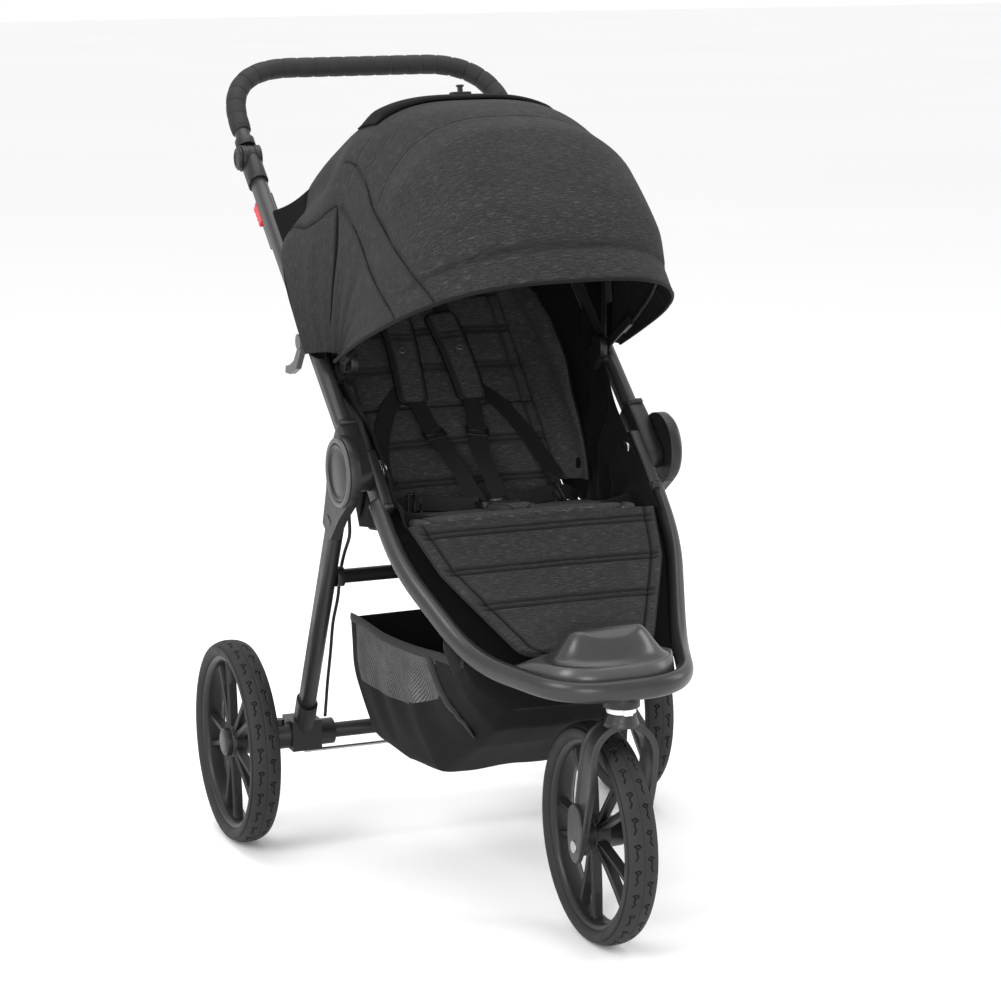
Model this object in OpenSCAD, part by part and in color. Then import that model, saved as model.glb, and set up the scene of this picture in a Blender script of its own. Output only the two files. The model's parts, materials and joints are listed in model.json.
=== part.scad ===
/* [Overall] */
// Width over the two rear tyres
overall_w = 653; // [600:1:700]
// Height of the fold hubs above the floor
hub_h = 584; // [560:1:640]
// Wheel diameter over the tyre
wheel_d = 292; // [270:1:300]
// Distance from the fold hubs back to the rear axle
rear_reach = 285; // [250:1:320]
// Distance from the fold hubs forward to the front axle
front_reach = 315; // [290:1:360]

/* [Upper frame] */
// Half distance between the upper tubes
upper_x = 212; // [205:1:225]
// Tube width, side to side
tube_w = 22; // [18:1:24]
// Tube depth, front to back
tube_d = 29; // [26:1:32]
// Tube wall
tube_wall = 2; // [1.5:0.1:3]
// Slope of the upper tubes above level
upper_angle = 39.5; // [36:0.5:44]
// Fold hub to handle joint
upper_len = 601; // [560:1:640]
// Radius of the hub castings
hub_r = 50; // [46:1:52]
// Radius of the hub bolt
hub_bolt_r = 8; // [6:0.5:10]

/* [Handlebar] */
// Handle joint to the middle of the grip
handle_len = 175; // [150:1:200]
// Slope of the handlebar legs above level
handle_angle = 44; // [38:1:50]
// Handlebar tube diameter
handle_d = 22; // [18:1:24]
// Grip diameter
grip_d = 29; // [26:1:34]
// Outside size of the handlebar corners
handle_corner = 107; // [90:1:115]

/* [Front frame] */
// Half width of the front loop at the hubs
loop_x = 204; // [198:1:206]
// Slope of the front loop below the hubs
loop_angle = 42.5; // [38:0.5:48]
// Height of the front bar above the floor
loop_h = 360; // [350:1:380]
// How far the front bar lies ahead of the swivel axis
bar_ahead = 25; // [20:1:40]
// Swivel axis to front axle
trail = 70; // [50:1:80]

/* [Rear frame] */
// Half distance between the leg middles at the hubs
leg_top_x = 234; // [232:1:238]
// Half distance between the leg middles at the axle
leg_foot_x = 206; // [195:1:215]
// Rear axle bolt radius
axle_r = 6; // [5:0.5:8]

/* [Wheels] */
// Tyre width
tyre_w = 45; // [38:1:50]
// Radius where the tyre meets the rim
rim_r = 124; // [108:1:125]
// Number of spokes
spokes = 10; // [8:1:12]
// Wheel hub length
wheel_hub_l = 56; // [48:1:60]
// Wheel hub radius
wheel_hub_r = 20; // [17:1:22]

/* [Seat] */
// Seat cushion width
seat_w = 336; // [300:1:340]
// Seat and backrest thickness
pad_t = 18; // [14:1:22]
// Backrest width
back_w = 290; // [260:1:310]
// Backrest length
back_l = 505; // [460:1:520]
// Backrest slope above level
back_angle = 45; // [43:1:50]

/* [Canopy] */
// Canopy reach at the top, from its pivot
canopy_r = 354; // [330:1:365]
// Half width of the canopy at the middle bow
canopy_x = 207; // [204:1:214]
// Canopy fabric thickness
canopy_t = 3; // [2:0.5:4]

/* [Hidden] */
$fn = 48;
run = 0.05; // running clearance between a shaft and its hole
gap = 0.3; // clearance between pieces that only lie close
face_gap = 0.5; // clearance between castings that turn on each other

// Places, measured from the fold axis: y forward is negative, z up
wheel_r = wheel_d / 2;
axle_z = wheel_r - hub_h;
wheel_x = overall_w / 2 - tyre_w / 2;
handle_pivot = upper_len * [cos(upper_angle), sin(upper_angle)];
handle_end = handle_pivot + handle_len * [cos(handle_angle), sin(handle_angle)];
front_y = -front_reach - wheel_r;
back_y = handle_end[0] + grip_d / 2;
hub_y = -(front_y + back_y) / 2;
swivel_y = -front_reach - trail;
loop_z = loop_h - hub_h;
bar_y = swivel_y - bar_ahead;

// Colours
frame_grey = [0.20, 0.20, 0.21];
dark = [0.08, 0.08, 0.085];
cloth = [0.23, 0.23, 0.24];
black_cloth = [0.05, 0.05, 0.055];
plate_grey = [0.27, 0.27, 0.28];

module from_hub() { translate([0, hub_y, hub_h]) children(); }
module both_sides() { children(); mirror([1, 0, 0]) children(); }

// Places children at p with +Z along q - p, keeping local X as near level as it can be
module along(p, q) {
  v = (q - p) / norm(q - p);
  translate(p) rotate([atan2(-v[1], v[2]), 0, 0]) rotate([0, asin(v[0]), 0]) children();
}
// Rounded bar section, w across and d deep
module oval(w, d) {
  square([w, d - w], center = true);
  for (s = [-1, 1]) translate([0, s * (d - w) / 2]) circle(d = w);
}
module oval_tube(p, q, w, d, wall) {
  along(p, q) linear_extrude(norm(q - p)) difference() {
    oval(w, d);
    oval(w - 2 * wall, d - 2 * wall);
  }
}
module rod(p, q, r) { along(p, q) cylinder(r = r, h = norm(q - p)); }
// Disc or tube along X from x0 to x1
module x_disc(x0, x1, r) { translate([x0, 0, 0]) rotate([0, 90, 0]) cylinder(r = r, h = x1 - x0); }
// Outline drawn in (y, z), given thickness from x0 to x1
module x_plate(x0, x1) {
  translate([x0, 0, 0]) rotate([90, 0, 90]) linear_extrude(x1 - x0) children();
}

// Smooth path through corner points: each inner corner is rounded over length t[i]
function mix(a, b, k) = a + (b - a) * k;
function toward(a, b, d) = a + (b - a) * d / norm(b - a);
function corner(a, b, c, t, n) = [for (i = [0 : n])
  let (k = i / n, p = toward(b, a, t), q = toward(b, c, t)) mix(mix(p, b, k), mix(b, q, k), k)];
function rounded_path(pts, t, n) = concat([pts[0]],
  [for (i = [1 : len(pts) - 2]) each corner(pts[i - 1], pts[i], pts[i + 1], t[i], n)],
  [pts[len(pts) - 1]]);
function flip_x(pts) = [for (i = [len(pts) - 1 : -1 : 0]) [-pts[i][0], pts[i][1], pts[i][2]]];
function unit(v) = v / norm(v);
function heading(path, i) = unit(path[min(i + 1, len(path) - 1)] - path[max(i - 1, 0)]);

// Closed tube of elliptical section a x b swept along a path; b stays nearest to the given up vector
module sweep(path, a, b, sides, up) {
  n = len(path);
  rings = [for (i = [0 : n - 1]) let (t = heading(path, i), s = unit(cross(t, up)), u = cross(s, t))
    for (k = [0 : sides - 1]) path[i] + s * a / 2 * cos(360 * k / sides) + u * b / 2 * sin(360 * k / sides)];
  polyhedron(rings, concat(
    [for (i = [0 : n - 2]) for (k = [0 : sides - 1]) let (m = (k + 1) % sides)
      [i * sides + k, i * sides + m, (i + 1) * sides + m, (i + 1) * sides + k]],
    [[for (k = [sides - 1 : -1 : 0]) k], [for (k = [0 : sides - 1]) (n - 1) * sides + k]]));
}

// The same tube with a wall, open at both ends
module hollow_sweep(path, a, b, sides, up) {
  last = len(path) - 1;
  ends = [path[0] - heading(path, 0) * tube_wall, path[last] + heading(path, last) * tube_wall];
  difference() {
    sweep(path, a, b, sides, up);
    sweep(concat([ends[0]], path, [ends[1]]), a - 2 * tube_wall, b - 2 * tube_wall, sides, up);
  }
}

// ---- Upper frame ----
hub_stack = [186, 203, 226, 240]; // x of the faces between the loop, upper and leg castings
socket_end = 78; // how far the tube sockets reach from the fold axis
tube_start = 56; // where the tubes begin inside their sockets
function up_at(r, x) = [x, r * cos(upper_angle), r * sin(upper_angle)];

module upper_tube() {
  oval_tube(up_at(tube_start, upper_x), up_at(upper_len - joint_r - 2, upper_x), tube_w, tube_d, tube_wall);
}
module upper_tube_left() { color(frame_grey) from_hub() mirror([1, 0, 0]) upper_tube(); }
module upper_tube_right() { color(frame_grey) from_hub() upper_tube(); }

module socket(p, q, w, d) {
  along(p, q) linear_extrude(norm(q - p)) difference() { oval(w + 6, d + 6); oval(w, d); }
}
module upper_castings() {
  color(dark) from_hub() both_sides() {
    difference() {
      union() {
        x_disc(hub_stack[1] + face_gap / 2, hub_stack[2] - face_gap / 2, hub_r);
        intersection() {
          along(up_at(0, upper_x + 2), up_at(1, upper_x + 2)) linear_extrude(tube_start) oval(tube_w + 3, tube_d + 6);
          x_disc(hub_stack[1] + face_gap / 2, hub_stack[2] - face_gap / 2, tube_start + 20);
        }
      }
      x_disc(hub_stack[1] - 5, hub_stack[2] + 5, hub_bolt_r + run);
    }
    socket(up_at(tube_start, upper_x), up_at(socket_end, upper_x), tube_w, tube_d);
  }
}
module hub_bolts() {
  color("silver") from_hub() both_sides() {
    x_disc(hub_stack[0] - 4, hub_stack[3] - 4, hub_bolt_r);
    x_disc(hub_stack[0] - 9, hub_stack[0] - 4, hub_bolt_r + 5);
  }
}
module hub_discs() {
  color(dark) from_hub() both_sides() difference() {
    x_disc(hub_stack[3], hub_stack[3] + 4, hub_r - 3);
    x_disc(hub_stack[3] + 2.5, hub_stack[3] + 5, hub_r - 8);
  }
}

joint_r = 19; // handle joint housing radius
joint_pin_r = 5;
module handle_sockets() {
  color(dark) from_hub() both_sides() {
    translate([0, handle_pivot[0], handle_pivot[1]]) difference() {
      x_disc(upper_x - tube_w / 2 - 3, upper_x + tube_w / 2 + 3, joint_r);
      x_disc(upper_x - 5 - face_gap, upper_x + 5 + face_gap, joint_r + 2);
      x_disc(upper_x - 40, upper_x + 40, joint_pin_r + run);
    }
    difference() {
      along(up_at(0, upper_x), up_at(1, upper_x)) translate([0, 0, upper_len - joint_r - 34])
        linear_extrude(34 + joint_r) oval(tube_w + 6, tube_d + 6);
      along(up_at(0, upper_x), up_at(1, upper_x)) translate([0, 0, upper_len - joint_r - 35])
        linear_extrude(35) oval(tube_w + 2 * run, tube_d + 2 * run);
      translate([0, handle_pivot[0], handle_pivot[1]]) x_disc(upper_x - 40, upper_x + 40, joint_r + face_gap);
    }
  }
}

// Grey bar and slide of the fold lock, on the back of the left upper tube
lock_from = 440; // distance up the tube
lock_l = 46;
lock_off = tube_d / 2 + 7; // bar's middle, off the tube's middle
module on_upper(r, s) {
  translate([s * upper_x, 0, 0]) rotate([upper_angle, 0, 0]) translate([0, r, 0]) children();
}
module fold_lock_bar() {
  color(plate_grey) from_hub() on_upper(lock_from, -1) {
    translate([-5, 0, -lock_off - 4]) cube([10, lock_l, 8]);
    for (y = [0, lock_l - 6]) translate([-5, y, -lock_off]) cube([10, 6, lock_off - tube_d / 2]);
  }
}
module fold_latch() {
  color([0.75, 0.05, 0.08]) from_hub() on_upper(lock_from + lock_l + 4, -1) difference() {
    translate([-8, 0, -lock_off - 8]) cube([16, 36, lock_off + 8 - tube_d / 2 - gap]);
    for (y = [8, 16, 24]) translate([-9, y, -lock_off - 9]) cube([18, 3, 3]);
  }
}

// Brake hand lever, on the outside of the left upper tube
lever_r = 238; // distance up the tube
lever_x = upper_x + tube_w / 2 + gap;
module brake_lever() {
  color(frame_grey) from_hub() mirror([1, 0, 0]) translate([0, lever_r * cos(upper_angle), lever_r * sin(upper_angle)]) {
    x_disc(lever_x, lever_x + 12, 11);
    x_plate(lever_x + 2, lever_x + 10) {
      polygon([[-7, 6], [7, -8], [26, -30], [44, -38], [62, -42], [64, -52], [42, -51], [16, -40], [-8, -10]]);
    }
  }
}

// ---- Handlebar ----
hp = concat([0], handle_pivot);
module handle_tube() {
  e = [0, cos(handle_angle), sin(handle_angle)];
  from = joint_r + 8;
  corners = [[upper_x, 0, 0] + hp + e * from, [upper_x, 0, 0] + hp + e * handle_len,
    [-upper_x, 0, 0] + hp + e * handle_len, [-upper_x, 0, 0] + hp + e * from];
  color(frame_grey) from_hub()
    hollow_sweep(rounded_path(corners, [0, handle_corner, handle_corner, 0], 10), handle_d, handle_d, 20,
      [0, -sin(handle_angle), cos(handle_angle)]);
}
module handle_grip() {
  e = [0, cos(handle_angle), sin(handle_angle)];
  corners = [[upper_x, 0, 0] + hp + e * (joint_r + 34), [upper_x, 0, 0] + hp + e * handle_len,
    [-upper_x, 0, 0] + hp + e * handle_len, [-upper_x, 0, 0] + hp + e * (joint_r + 34)];
  path = rounded_path(corners, [0, handle_corner, handle_corner, 0], 10);
  up = [0, -sin(handle_angle), cos(handle_angle)];
  color(dark) from_hub() difference() {
    sweep(path, grip_d, grip_d, 20, up);
    sweep(concat([path[0] - e * 3], path, [path[len(path) - 1] - e * 3]), handle_d + 0.4, handle_d + 0.4, 20, up);
  }
}
module handle_joints() {
  color(dark) from_hub() both_sides() {
    translate([0, handle_pivot[0], handle_pivot[1]]) {
      x_disc(upper_x - 5, upper_x + 5, joint_r - face_gap);
      x_disc(upper_x - tube_w / 2 - 5, upper_x + tube_w / 2 + 5, joint_pin_r);
      x_disc(upper_x + tube_w / 2 + 3 + gap, upper_x + tube_w / 2 + 7, joint_r - 2);
    }
    difference() {
      translate([upper_x, 0, 0] + hp) rotate([handle_angle - 90, 0, 0]) {
        translate([0, 0, joint_r + face_gap]) cylinder(d = handle_d + 7, h = 14);
        translate([-5, -8, 8]) cube([10, 16, 20]);
      }
      translate([upper_x, 0, 0] + hp) rotate([handle_angle - 90, 0, 0]) translate([0, 0, joint_r + 8])
        cylinder(d = handle_d + 2 * run, h = 30);
    }
  }
}

// ---- Canopy ----
// Arches about the canopy pivot: a from the rear arch, 0, to the brim, 1
canopy_pivot = [105, 131];
rear_tilt = 42;
brim_tilt = 158;
function bend3(a, b, c, k) = (1 - k) * (1 - k) * a + 2 * k * (1 - k) * b + k * k * c;
function arch_reach(a) = canopy_r + bend3(7, -21, 21, a) + (a > 0.93 ? (a - 0.93) * 140 : 0);
function arch_half(a) = canopy_x + bend3(38, -24, 6, a);
function arch_power(a) = bend3(3.5, 3.1, 2.85, a);
function canopy_pt(a, t, inset) = let (
    th = rear_tilt + (brim_tilt - rear_tilt) * a, n = 2 / arch_power(a),
    x = (arch_half(a) - inset) * sign(cos(t)) * pow(abs(cos(t)), n),
    u = (arch_reach(a) - inset) * pow(abs(sin(t)), n))
  [x, canopy_pivot[0] + u * cos(th), canopy_pivot[1] + u * sin(th)];
arch_low = 2.6; // degrees of the arch left open next to the pivot
arch_steps = 22;
function arch_t(j) = let (k = 2 * j / arch_steps - 1) 90 - (90 - arch_low) * sign(k) * pow(abs(k), 0.8);
module canopy_panel(a0, a1, rows) {
  n = arch_steps + 1;
  sheet = [for (side = [0, 1]) for (i = [0 : rows]) for (j = [0 : arch_steps])
    canopy_pt(a0 + (a1 - a0) * i / rows, arch_t(j), side * canopy_t)];
  half = n * (rows + 1);
  rim = concat([for (j = [0 : arch_steps]) j], [for (i = [1 : rows]) i * n + arch_steps],
    [for (j = [arch_steps - 1 : -1 : 0]) rows * n + j], [for (i = [rows - 1 : -1 : 1]) i * n]);
  m = len(rim);
  polyhedron(sheet, concat(
    [for (i = [0 : rows - 1]) for (j = [0 : arch_steps - 1]) let (p = i * n + j)
      each [[p, p + n, p + n + 1], [p, p + n + 1, p + 1]]],
    [for (i = [0 : rows - 1]) for (j = [0 : arch_steps - 1]) let (p = half + i * n + j)
      each [[p, p + n + 1, p + n], [p, p + 1, p + n + 1]]],
    [for (k = [0 : m - 1]) let (p = rim[k], q = rim[(k + 1) % m])
      each [[p, q, q + half], [p, q + half, p + half]]]));
}
middle_a = 0.42; // middle bow
front_a = 0.93; // front bow
seam = 0.003; // space between canopy panels
module canopy_rear() { color(cloth) from_hub() canopy_panel(0, middle_a - seam, 5); }
module canopy_middle() { color(cloth) from_hub() canopy_panel(middle_a, front_a - 0.12 - seam, 5); }
module canopy_front() { color(cloth) from_hub() canopy_panel(front_a - 0.12, 1, 4); }
arm_x = [194, 190.5]; // inner faces of the front and middle bow arms
bow_d = 6;
module canopy_bow(a) {
  depth = canopy_t + bow_d / 2 + 0.6;
  path = [for (j = [0 : arch_steps]) canopy_pt(a, 90 + (arch_t(j) - 90) * 0.985, depth)];
  th = rear_tilt + (brim_tilt - rear_tilt) * a;
  sweep(path, bow_d, bow_d, 8, [0, cos(th), sin(th)]);
}
bow_root = 62; // length of the flat arms at the canopy pivot
module bow_arms(a, x, r) {
  th = rear_tilt + (brim_tilt - rear_tilt) * a;
  both_sides() difference() {
    translate([0, canopy_pivot[0], canopy_pivot[1]]) {
      x_disc(x, x + 3, r);
      rotate([th, 0, 0]) translate([x, 0, -6]) {
        cube([3, bow_root + 30, 12]);
        translate([0, bow_root, 0]) cube([arm_x[0] + 6 - x, 30, 12]);
      }
    }
    translate([0, canopy_pivot[0], canopy_pivot[1]]) x_disc(x - 5, x + 10, 5 + run);
  }
}
module canopy_bow_middle() { color(dark) from_hub() { canopy_bow(middle_a); bow_arms(middle_a, arm_x[1], 14); } }
module canopy_bow_front() { color(dark) from_hub() { canopy_bow(front_a); bow_arms(front_a, arm_x[0], 14); } }
mount_x = 180;
module canopy_mounts() {
  drop = canopy_pivot[1] * cos(upper_angle) - canopy_pivot[0] * sin(upper_angle); // pivot above the tube's middle
  run_up = canopy_pivot[0] * cos(upper_angle) + canopy_pivot[1] * sin(upper_angle);
  color(dark) from_hub() both_sides() {
    x_plate(mount_x, arm_x[1] - gap) {
      translate(canopy_pivot) circle(r = 17);
      rotate(upper_angle) translate([run_up - 14, 2]) square([28, drop]);
    }
    translate([0, canopy_pivot[0], canopy_pivot[1]]) x_disc(mount_x + 2, arm_x[0] + 4, 5);
    translate([mount_x + 3, 0, 0]) rotate([upper_angle, 0, 0]) translate([0, run_up - 12, 4])
      cube([upper_x - tube_w / 2 - gap - mount_x - 3, 24, drop - 21]);
  }
}

// ---- Rear frame ----
leg_foot = [leg_foot_x, rear_reach, axle_z];
leg_top = [leg_top_x, 0, 0];
leg_len = norm(leg_foot - leg_top);
leg_dir = (leg_foot - leg_top) / leg_len;
leg_start = 84;
leg_slope = atan2(leg_dir[2], leg_dir[1]);
module rear_leg() {
  a = leg_top + leg_dir * leg_start;
  b = leg_foot - leg_dir * 26;
  oval_tube(a, b, tube_w, tube_d + 3, tube_wall);
  difference() {
    union() {
      x_disc(hub_stack[2] + face_gap / 2, hub_stack[3] - gap, hub_r);
      x_plate(hub_stack[2] + face_gap / 2, hub_stack[3] - gap) rotate(leg_slope) polygon([[20, 46], [60, 30],
        [leg_start + 26, 18], [leg_start + 26, -18], [60, -30], [20, -46]]);
    }
    x_disc(hub_stack[2] - 2, hub_stack[3] - 4 + gap, hub_bolt_r + run);
    along(leg_top + leg_dir * (leg_start - 0.5), b) linear_extrude(60) oval(tube_w, tube_d + 3);
  }
}
module rear_leg_left() { color(frame_grey) from_hub() mirror([1, 0, 0]) rear_leg(); }
module rear_leg_right() { color(frame_grey) from_hub() rear_leg(); }

bracket_r = 19;
wheel_face = wheel_x - wheel_hub_l + tyre_w / 2; // inner face of a rear wheel's hub
bracket_x = [160, wheel_face - 6];
module axle_brackets() {
  color(dark) from_hub() both_sides() difference() {
    union() {
      translate([0, rear_reach, axle_z]) x_disc(bracket_x[0], bracket_x[1], bracket_r);
      translate([0, rear_reach, axle_z]) translate([leg_foot_x - 22, -26, -bracket_r]) cube([44, 50, 44]);
      along(leg_foot - leg_dir * 70, leg_foot) linear_extrude(66) oval(tube_w + 6, tube_d + 9);
    }
    along(leg_foot - leg_dir * 80, leg_foot) linear_extrude(54.5) oval(tube_w, tube_d + 3);
    translate([0, rear_reach, axle_z]) x_disc(100, bracket_x[0] + 24, axle_tube_r + run);
    translate([0, rear_reach, axle_z]) x_disc(100, bracket_x[1] + 10, axle_r + run);
    translate([0, rear_reach, axle_z]) translate([release_x, 0, 0]) cylinder(r = release_r + run, h = 80);
  }
}
axle_tube_r = 11;
module rear_axle() {
  color("silver") from_hub() translate([0, rear_reach, axle_z]) {
    x_disc(-bracket_x[0] - 24, bracket_x[0] + 24, axle_tube_r);
    x_disc(-wheel_x - tyre_w / 2 + 5, wheel_x + tyre_w / 2 - 5, axle_r);
  }
}
release_x = 240;
release_r = 7;
release_stroke = 4;
module wheel_release() {
  translate([release_x, rear_reach, axle_z + axle_r + gap + release_stroke])
    cylinder(r = release_r, h = bracket_r - axle_r + 2);
}
module wheel_release_left() { color("dimgray") from_hub() mirror([1, 0, 0]) wheel_release(); }
module wheel_release_right() { color("dimgray") from_hub() wheel_release(); }

brake_rod_r = 2.5;
module brake_rod() {
  color("silver") from_hub() translate([0, rear_reach - 10, axle_z - bracket_r - brake_rod_r - 2]) {
    x_disc(-leg_foot_x, leg_foot_x, brake_rod_r);
    both_sides() translate([leg_foot_x - 6, -3, 0]) cube([6, 6, brake_rod_r + 2]);
  }
}
cross_at = 200; // distance of the crossbar down the leg
module mid_crossbar() {
  p = leg_top + leg_dir * cross_at;
  color(dark) from_hub() translate([0, p[1], p[2]]) {
    x_disc(-p[0] + tube_w / 2 + 4, p[0] - tube_w / 2 - 4, 10);
    both_sides() x_disc(p[0] - tube_w / 2 - 12, p[0] - tube_w / 2 - 0.9, 14);
  }
}
// Cable route down the inside of a leg, from the hub to the axle bracket
cable_d = 5;
cable_route = [[214, 38, -66], [206, 58, -100], [200, 102, -134], [197, 130, -168], [194, 148, -206],
  [191, 182, -250], [187, 206, -300], [183, 234, -352], [180, 252, -392], [176, 268, -410]];
module brake_cables() {
  color(dark) from_hub() both_sides()
    sweep(rounded_path(cable_route, [0, 16, 16, 14, 14, 16, 16, 14, 12, 0], 3), cable_d, cable_d, 8, [1, 0, 0.1]);
}

// ---- Basket ----
// Sections from front to rear: y, half width at the rim, half width at the floor, rim height, floor height
basket_wall = 4;
basket_floor = axle_z + 8;
basket_sections = [[swivel_y + 173, 146, 84, loop_z + 2, loop_z - 66], [swivel_y + 195, 148, 92, loop_z - 2, loop_z - 100],
  [swivel_y + 245, 152, 98, loop_z - 10, loop_z - 136], [swivel_y + 345, 158, 112, loop_z - 20, basket_floor + 12],
  [rear_reach - 225, 162, 118, loop_z - 24, basket_floor], [rear_reach - 100, 162, 118, loop_z - 24, basket_floor]];
module loft(sections, inset, rise) {
  n = len(sections);
  pts = [for (i = [0 : n - 1]) let (s = sections[i],
      y = s[0] + (i == 0 ? inset : i == n - 1 ? -inset : 0))
    each [[-s[1] + inset, y, s[3] + rise], [s[1] - inset, y, s[3] + rise],
      [s[2] - inset, y, s[4] + inset], [-s[2] + inset, y, s[4] + inset]]];
  polyhedron(pts, concat([[0, 1, 2, 3], [for (k = [3 : -1 : 0]) 4 * (n - 1) + k]],
    [for (i = [0 : n - 2]) for (k = [0 : 3]) let (p = 4 * i + k, q = 4 * i + (k + 1) % 4)
      each [[p, q + 4, q], [p, p + 4, q + 4]]]));
}
hang_y = swivel_y + 185; // front straps
module basket() {
  s0 = basket_sections[0];
  s5 = basket_sections[5];
  leg_at = (s5[3] - 22) / leg_dir[2];
  leg_x = leg_top_x + leg_dir[0] * leg_at - tube_w / 2;
  loop_pt = loop_near(hang_y);
  color(black_cloth) from_hub() {
    difference() {
      loft(basket_sections, 0, 0);
      loft(basket_sections, basket_wall, 1);
    }
    both_sides() {
      translate([s0[1] - 8, hang_y - 10, s0[3] - 14]) cube([4, 20, loop_pt[2] - tube_d / 2 - 1.5 - s0[3] + 14]);
      translate([s5[1] - 6, s5[0] - 24, s5[3] - 22]) cube([leg_x - gap - s5[1] + 6, 16, 3]);
    }
  }
}

// ---- Front frame ----
loop_bend = 160; // straight length of the loop's side, from the fold axis
side_pt = [loop_x - 6, -loop_bend * cos(loop_angle), -loop_bend * sin(loop_angle)];
waist_pt = [146, swivel_y + 140, loop_z + 12];
front_pt = [82, bar_y, loop_z];
loop_dir = unit(side_pt - [loop_x, 0, 0]);
loop_corners = [[loop_x, 0, 0] + loop_dir * tube_start, side_pt, waist_pt, front_pt];
loop_path = rounded_path(concat(loop_corners, flip_x(loop_corners)), [0, 50, 62, 66, 66, 62, 50, 0], 6);
// Point of the loop's right side where it passes y
function loop_near(y) = [for (i = [0 : len(loop_path) / 2 - 2])
  if (loop_path[i][1] >= y && loop_path[i + 1][1] < y)
    mix(loop_path[i], loop_path[i + 1], (loop_path[i][1] - y) / (loop_path[i][1] - loop_path[i + 1][1]))][0];
module front_loop() { color(frame_grey) from_hub() sweep(loop_path, tube_w, tube_d, 20, [0, -0.25, 1]); }
module loop_castings() {
  a = [loop_x, 0, 0] + loop_dir * tube_start;
  b = [loop_x, 0, 0] + loop_dir * socket_end;
  color(dark) from_hub() both_sides() {
    difference() {
      union() {
        x_disc(hub_stack[0], hub_stack[1] - face_gap / 2, hub_r);
        intersection() {
          along([loop_x, 0, 0], a) linear_extrude(tube_start) oval(tube_w + 6, tube_d + 6);
          x_disc(hub_stack[0], hub_stack[1] - face_gap / 2, socket_end);
        }
      }
      x_disc(hub_stack[0] - 5, hub_stack[1] + 5, hub_bolt_r + run);
    }
    difference() {
      along(a, b) linear_extrude(socket_end - tube_start) oval(tube_w + 6, tube_d + 6);
      along(a, b) translate([0, 0, -1]) linear_extrude(60) oval(tube_w + 1, tube_d + 1);
    }
  }
}
plate_t = 20;
plate_under = 12; // underside of the foot plate, below the middle of the front bar
plate_rear = swivel_y + 108;
hood_w = 150;
function inner_edge(off) = [for (i = [0 : len(loop_path) - 1]) if (loop_path[i][1] < plate_rear)
  let (t = heading(loop_path, i), n = unit([t[1], -t[0]])) [loop_path[i][0], loop_path[i][1]] + n * off];
module footplate() {
  top = loop_z - plate_under + plate_t;
  color(plate_grey) from_hub() {
    translate([0, 0, loop_z - plate_under]) linear_extrude(plate_t) polygon(inner_edge(tube_w / 2 + 3 * gap));
    hull() {
      translate([0, swivel_y + 58, top - 2]) linear_extrude(2) square([hood_w, 92], center = true);
      for (s = [-1, 1]) translate([s * (hood_w / 2 - 29), swivel_y + 62, top + 20]) sphere(r = 14, $fn = 24);
    }
  }
}
collar_z = 326 - hub_h; // underside of the caster housing
stem_r = 10;
module caster_housing() {
  low = loop_z - tube_d / 2 - gap; // underside of the front bar
  color(dark) from_hub() translate([0, swivel_y, 0]) difference() {
    translate([0, 0, collar_z + 8]) cylinder(r = 24, h = loop_z - plate_under - collar_z - 8);
    translate([0, 0, collar_z - 1]) cylinder(r = stem_r + run, h = loop_z - plate_under - collar_z - 2);
    translate([-30, -60 - bar_ahead + tube_w / 2 + 1.5, low]) cube([60, 60, 60]);
  }
}
module swivel_lock() {
  color([0.85, 0.85, 0.84]) from_hub() translate([0, swivel_y, collar_z]) {
    difference() {
      cylinder(r = 19, h = 8 - gap);
      translate([0, 0, -1]) cylinder(r = stem_r + 1 + run, h = 20);
    }
    translate([-6, -24, 0]) difference() {
      cube([12, 12, 8 - gap]);
      translate([6, 24, -1]) cylinder(r = 17, h = 20);
    }
  }
}

// ---- Seat ----
seat_front = [-80, -58];
crease = [115, -89];
seat_slope = atan2(crease[1] - seat_front[1], crease[0] - seat_front[0]);
seat_l = norm(crease - seat_front);
module at_yz(p, a) { translate([0, p[0], p[1]]) rotate([a, 0, 0]) children(); }
module slab(w, l, t, r) {
  linear_extrude(t) difference() {
    translate([-w / 2, 0]) square([w, l]);
    for (s = [-1, 1]) for (y = [0, l]) translate([s * w / 2, y]) difference() {
      square(2 * r, center = true);
      translate([-s * r, y > 0 ? -r : r]) circle(r);
    }
  }
}
module seat_cushion() {
  tab_x = loop_near(seat_front[0])[0] - tube_w / 2 - gap;
  color(cloth) from_hub() at_yz(seat_front, seat_slope) {
    translate([0, 0, -pad_t]) slab(seat_w, seat_l - gap, pad_t, 18);
    both_sides() translate([seat_w / 2 - 4, 18, -pad_t]) cube([hub_stack[0] - gap - seat_w / 2 + 4, 30, 10]);
  }
}
calf_l = 236;
calf_slope = 217; // direction of the calf panel, from level rear
module calf_panel() {
  t = 12;
  color(cloth) from_hub() at_yz(seat_front, calf_slope) translate([0, 13.6, 0]) linear_extrude(t) polygon([
    [-seat_w / 2, 0], [seat_w / 2, 0], [seat_w / 2 - 22, 90], [128, 130], [84, calf_l], [-84, calf_l], [-128, 130],
    [-seat_w / 2 + 22, 90]]);
}
back_skip = 180; // soft lower part of the backrest
module backrest() {
  color(cloth) from_hub() at_yz(crease, back_angle) translate([0, back_skip + gap, -pad_t])
    slab(back_w, back_l - back_skip, pad_t, 22);
}
module lower_back() {
  color(cloth) from_hub() at_yz(crease, back_angle) translate([-back_w / 2, gap, -pad_t])
    cube([back_w, back_skip - gap, pad_t]);
}
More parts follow.
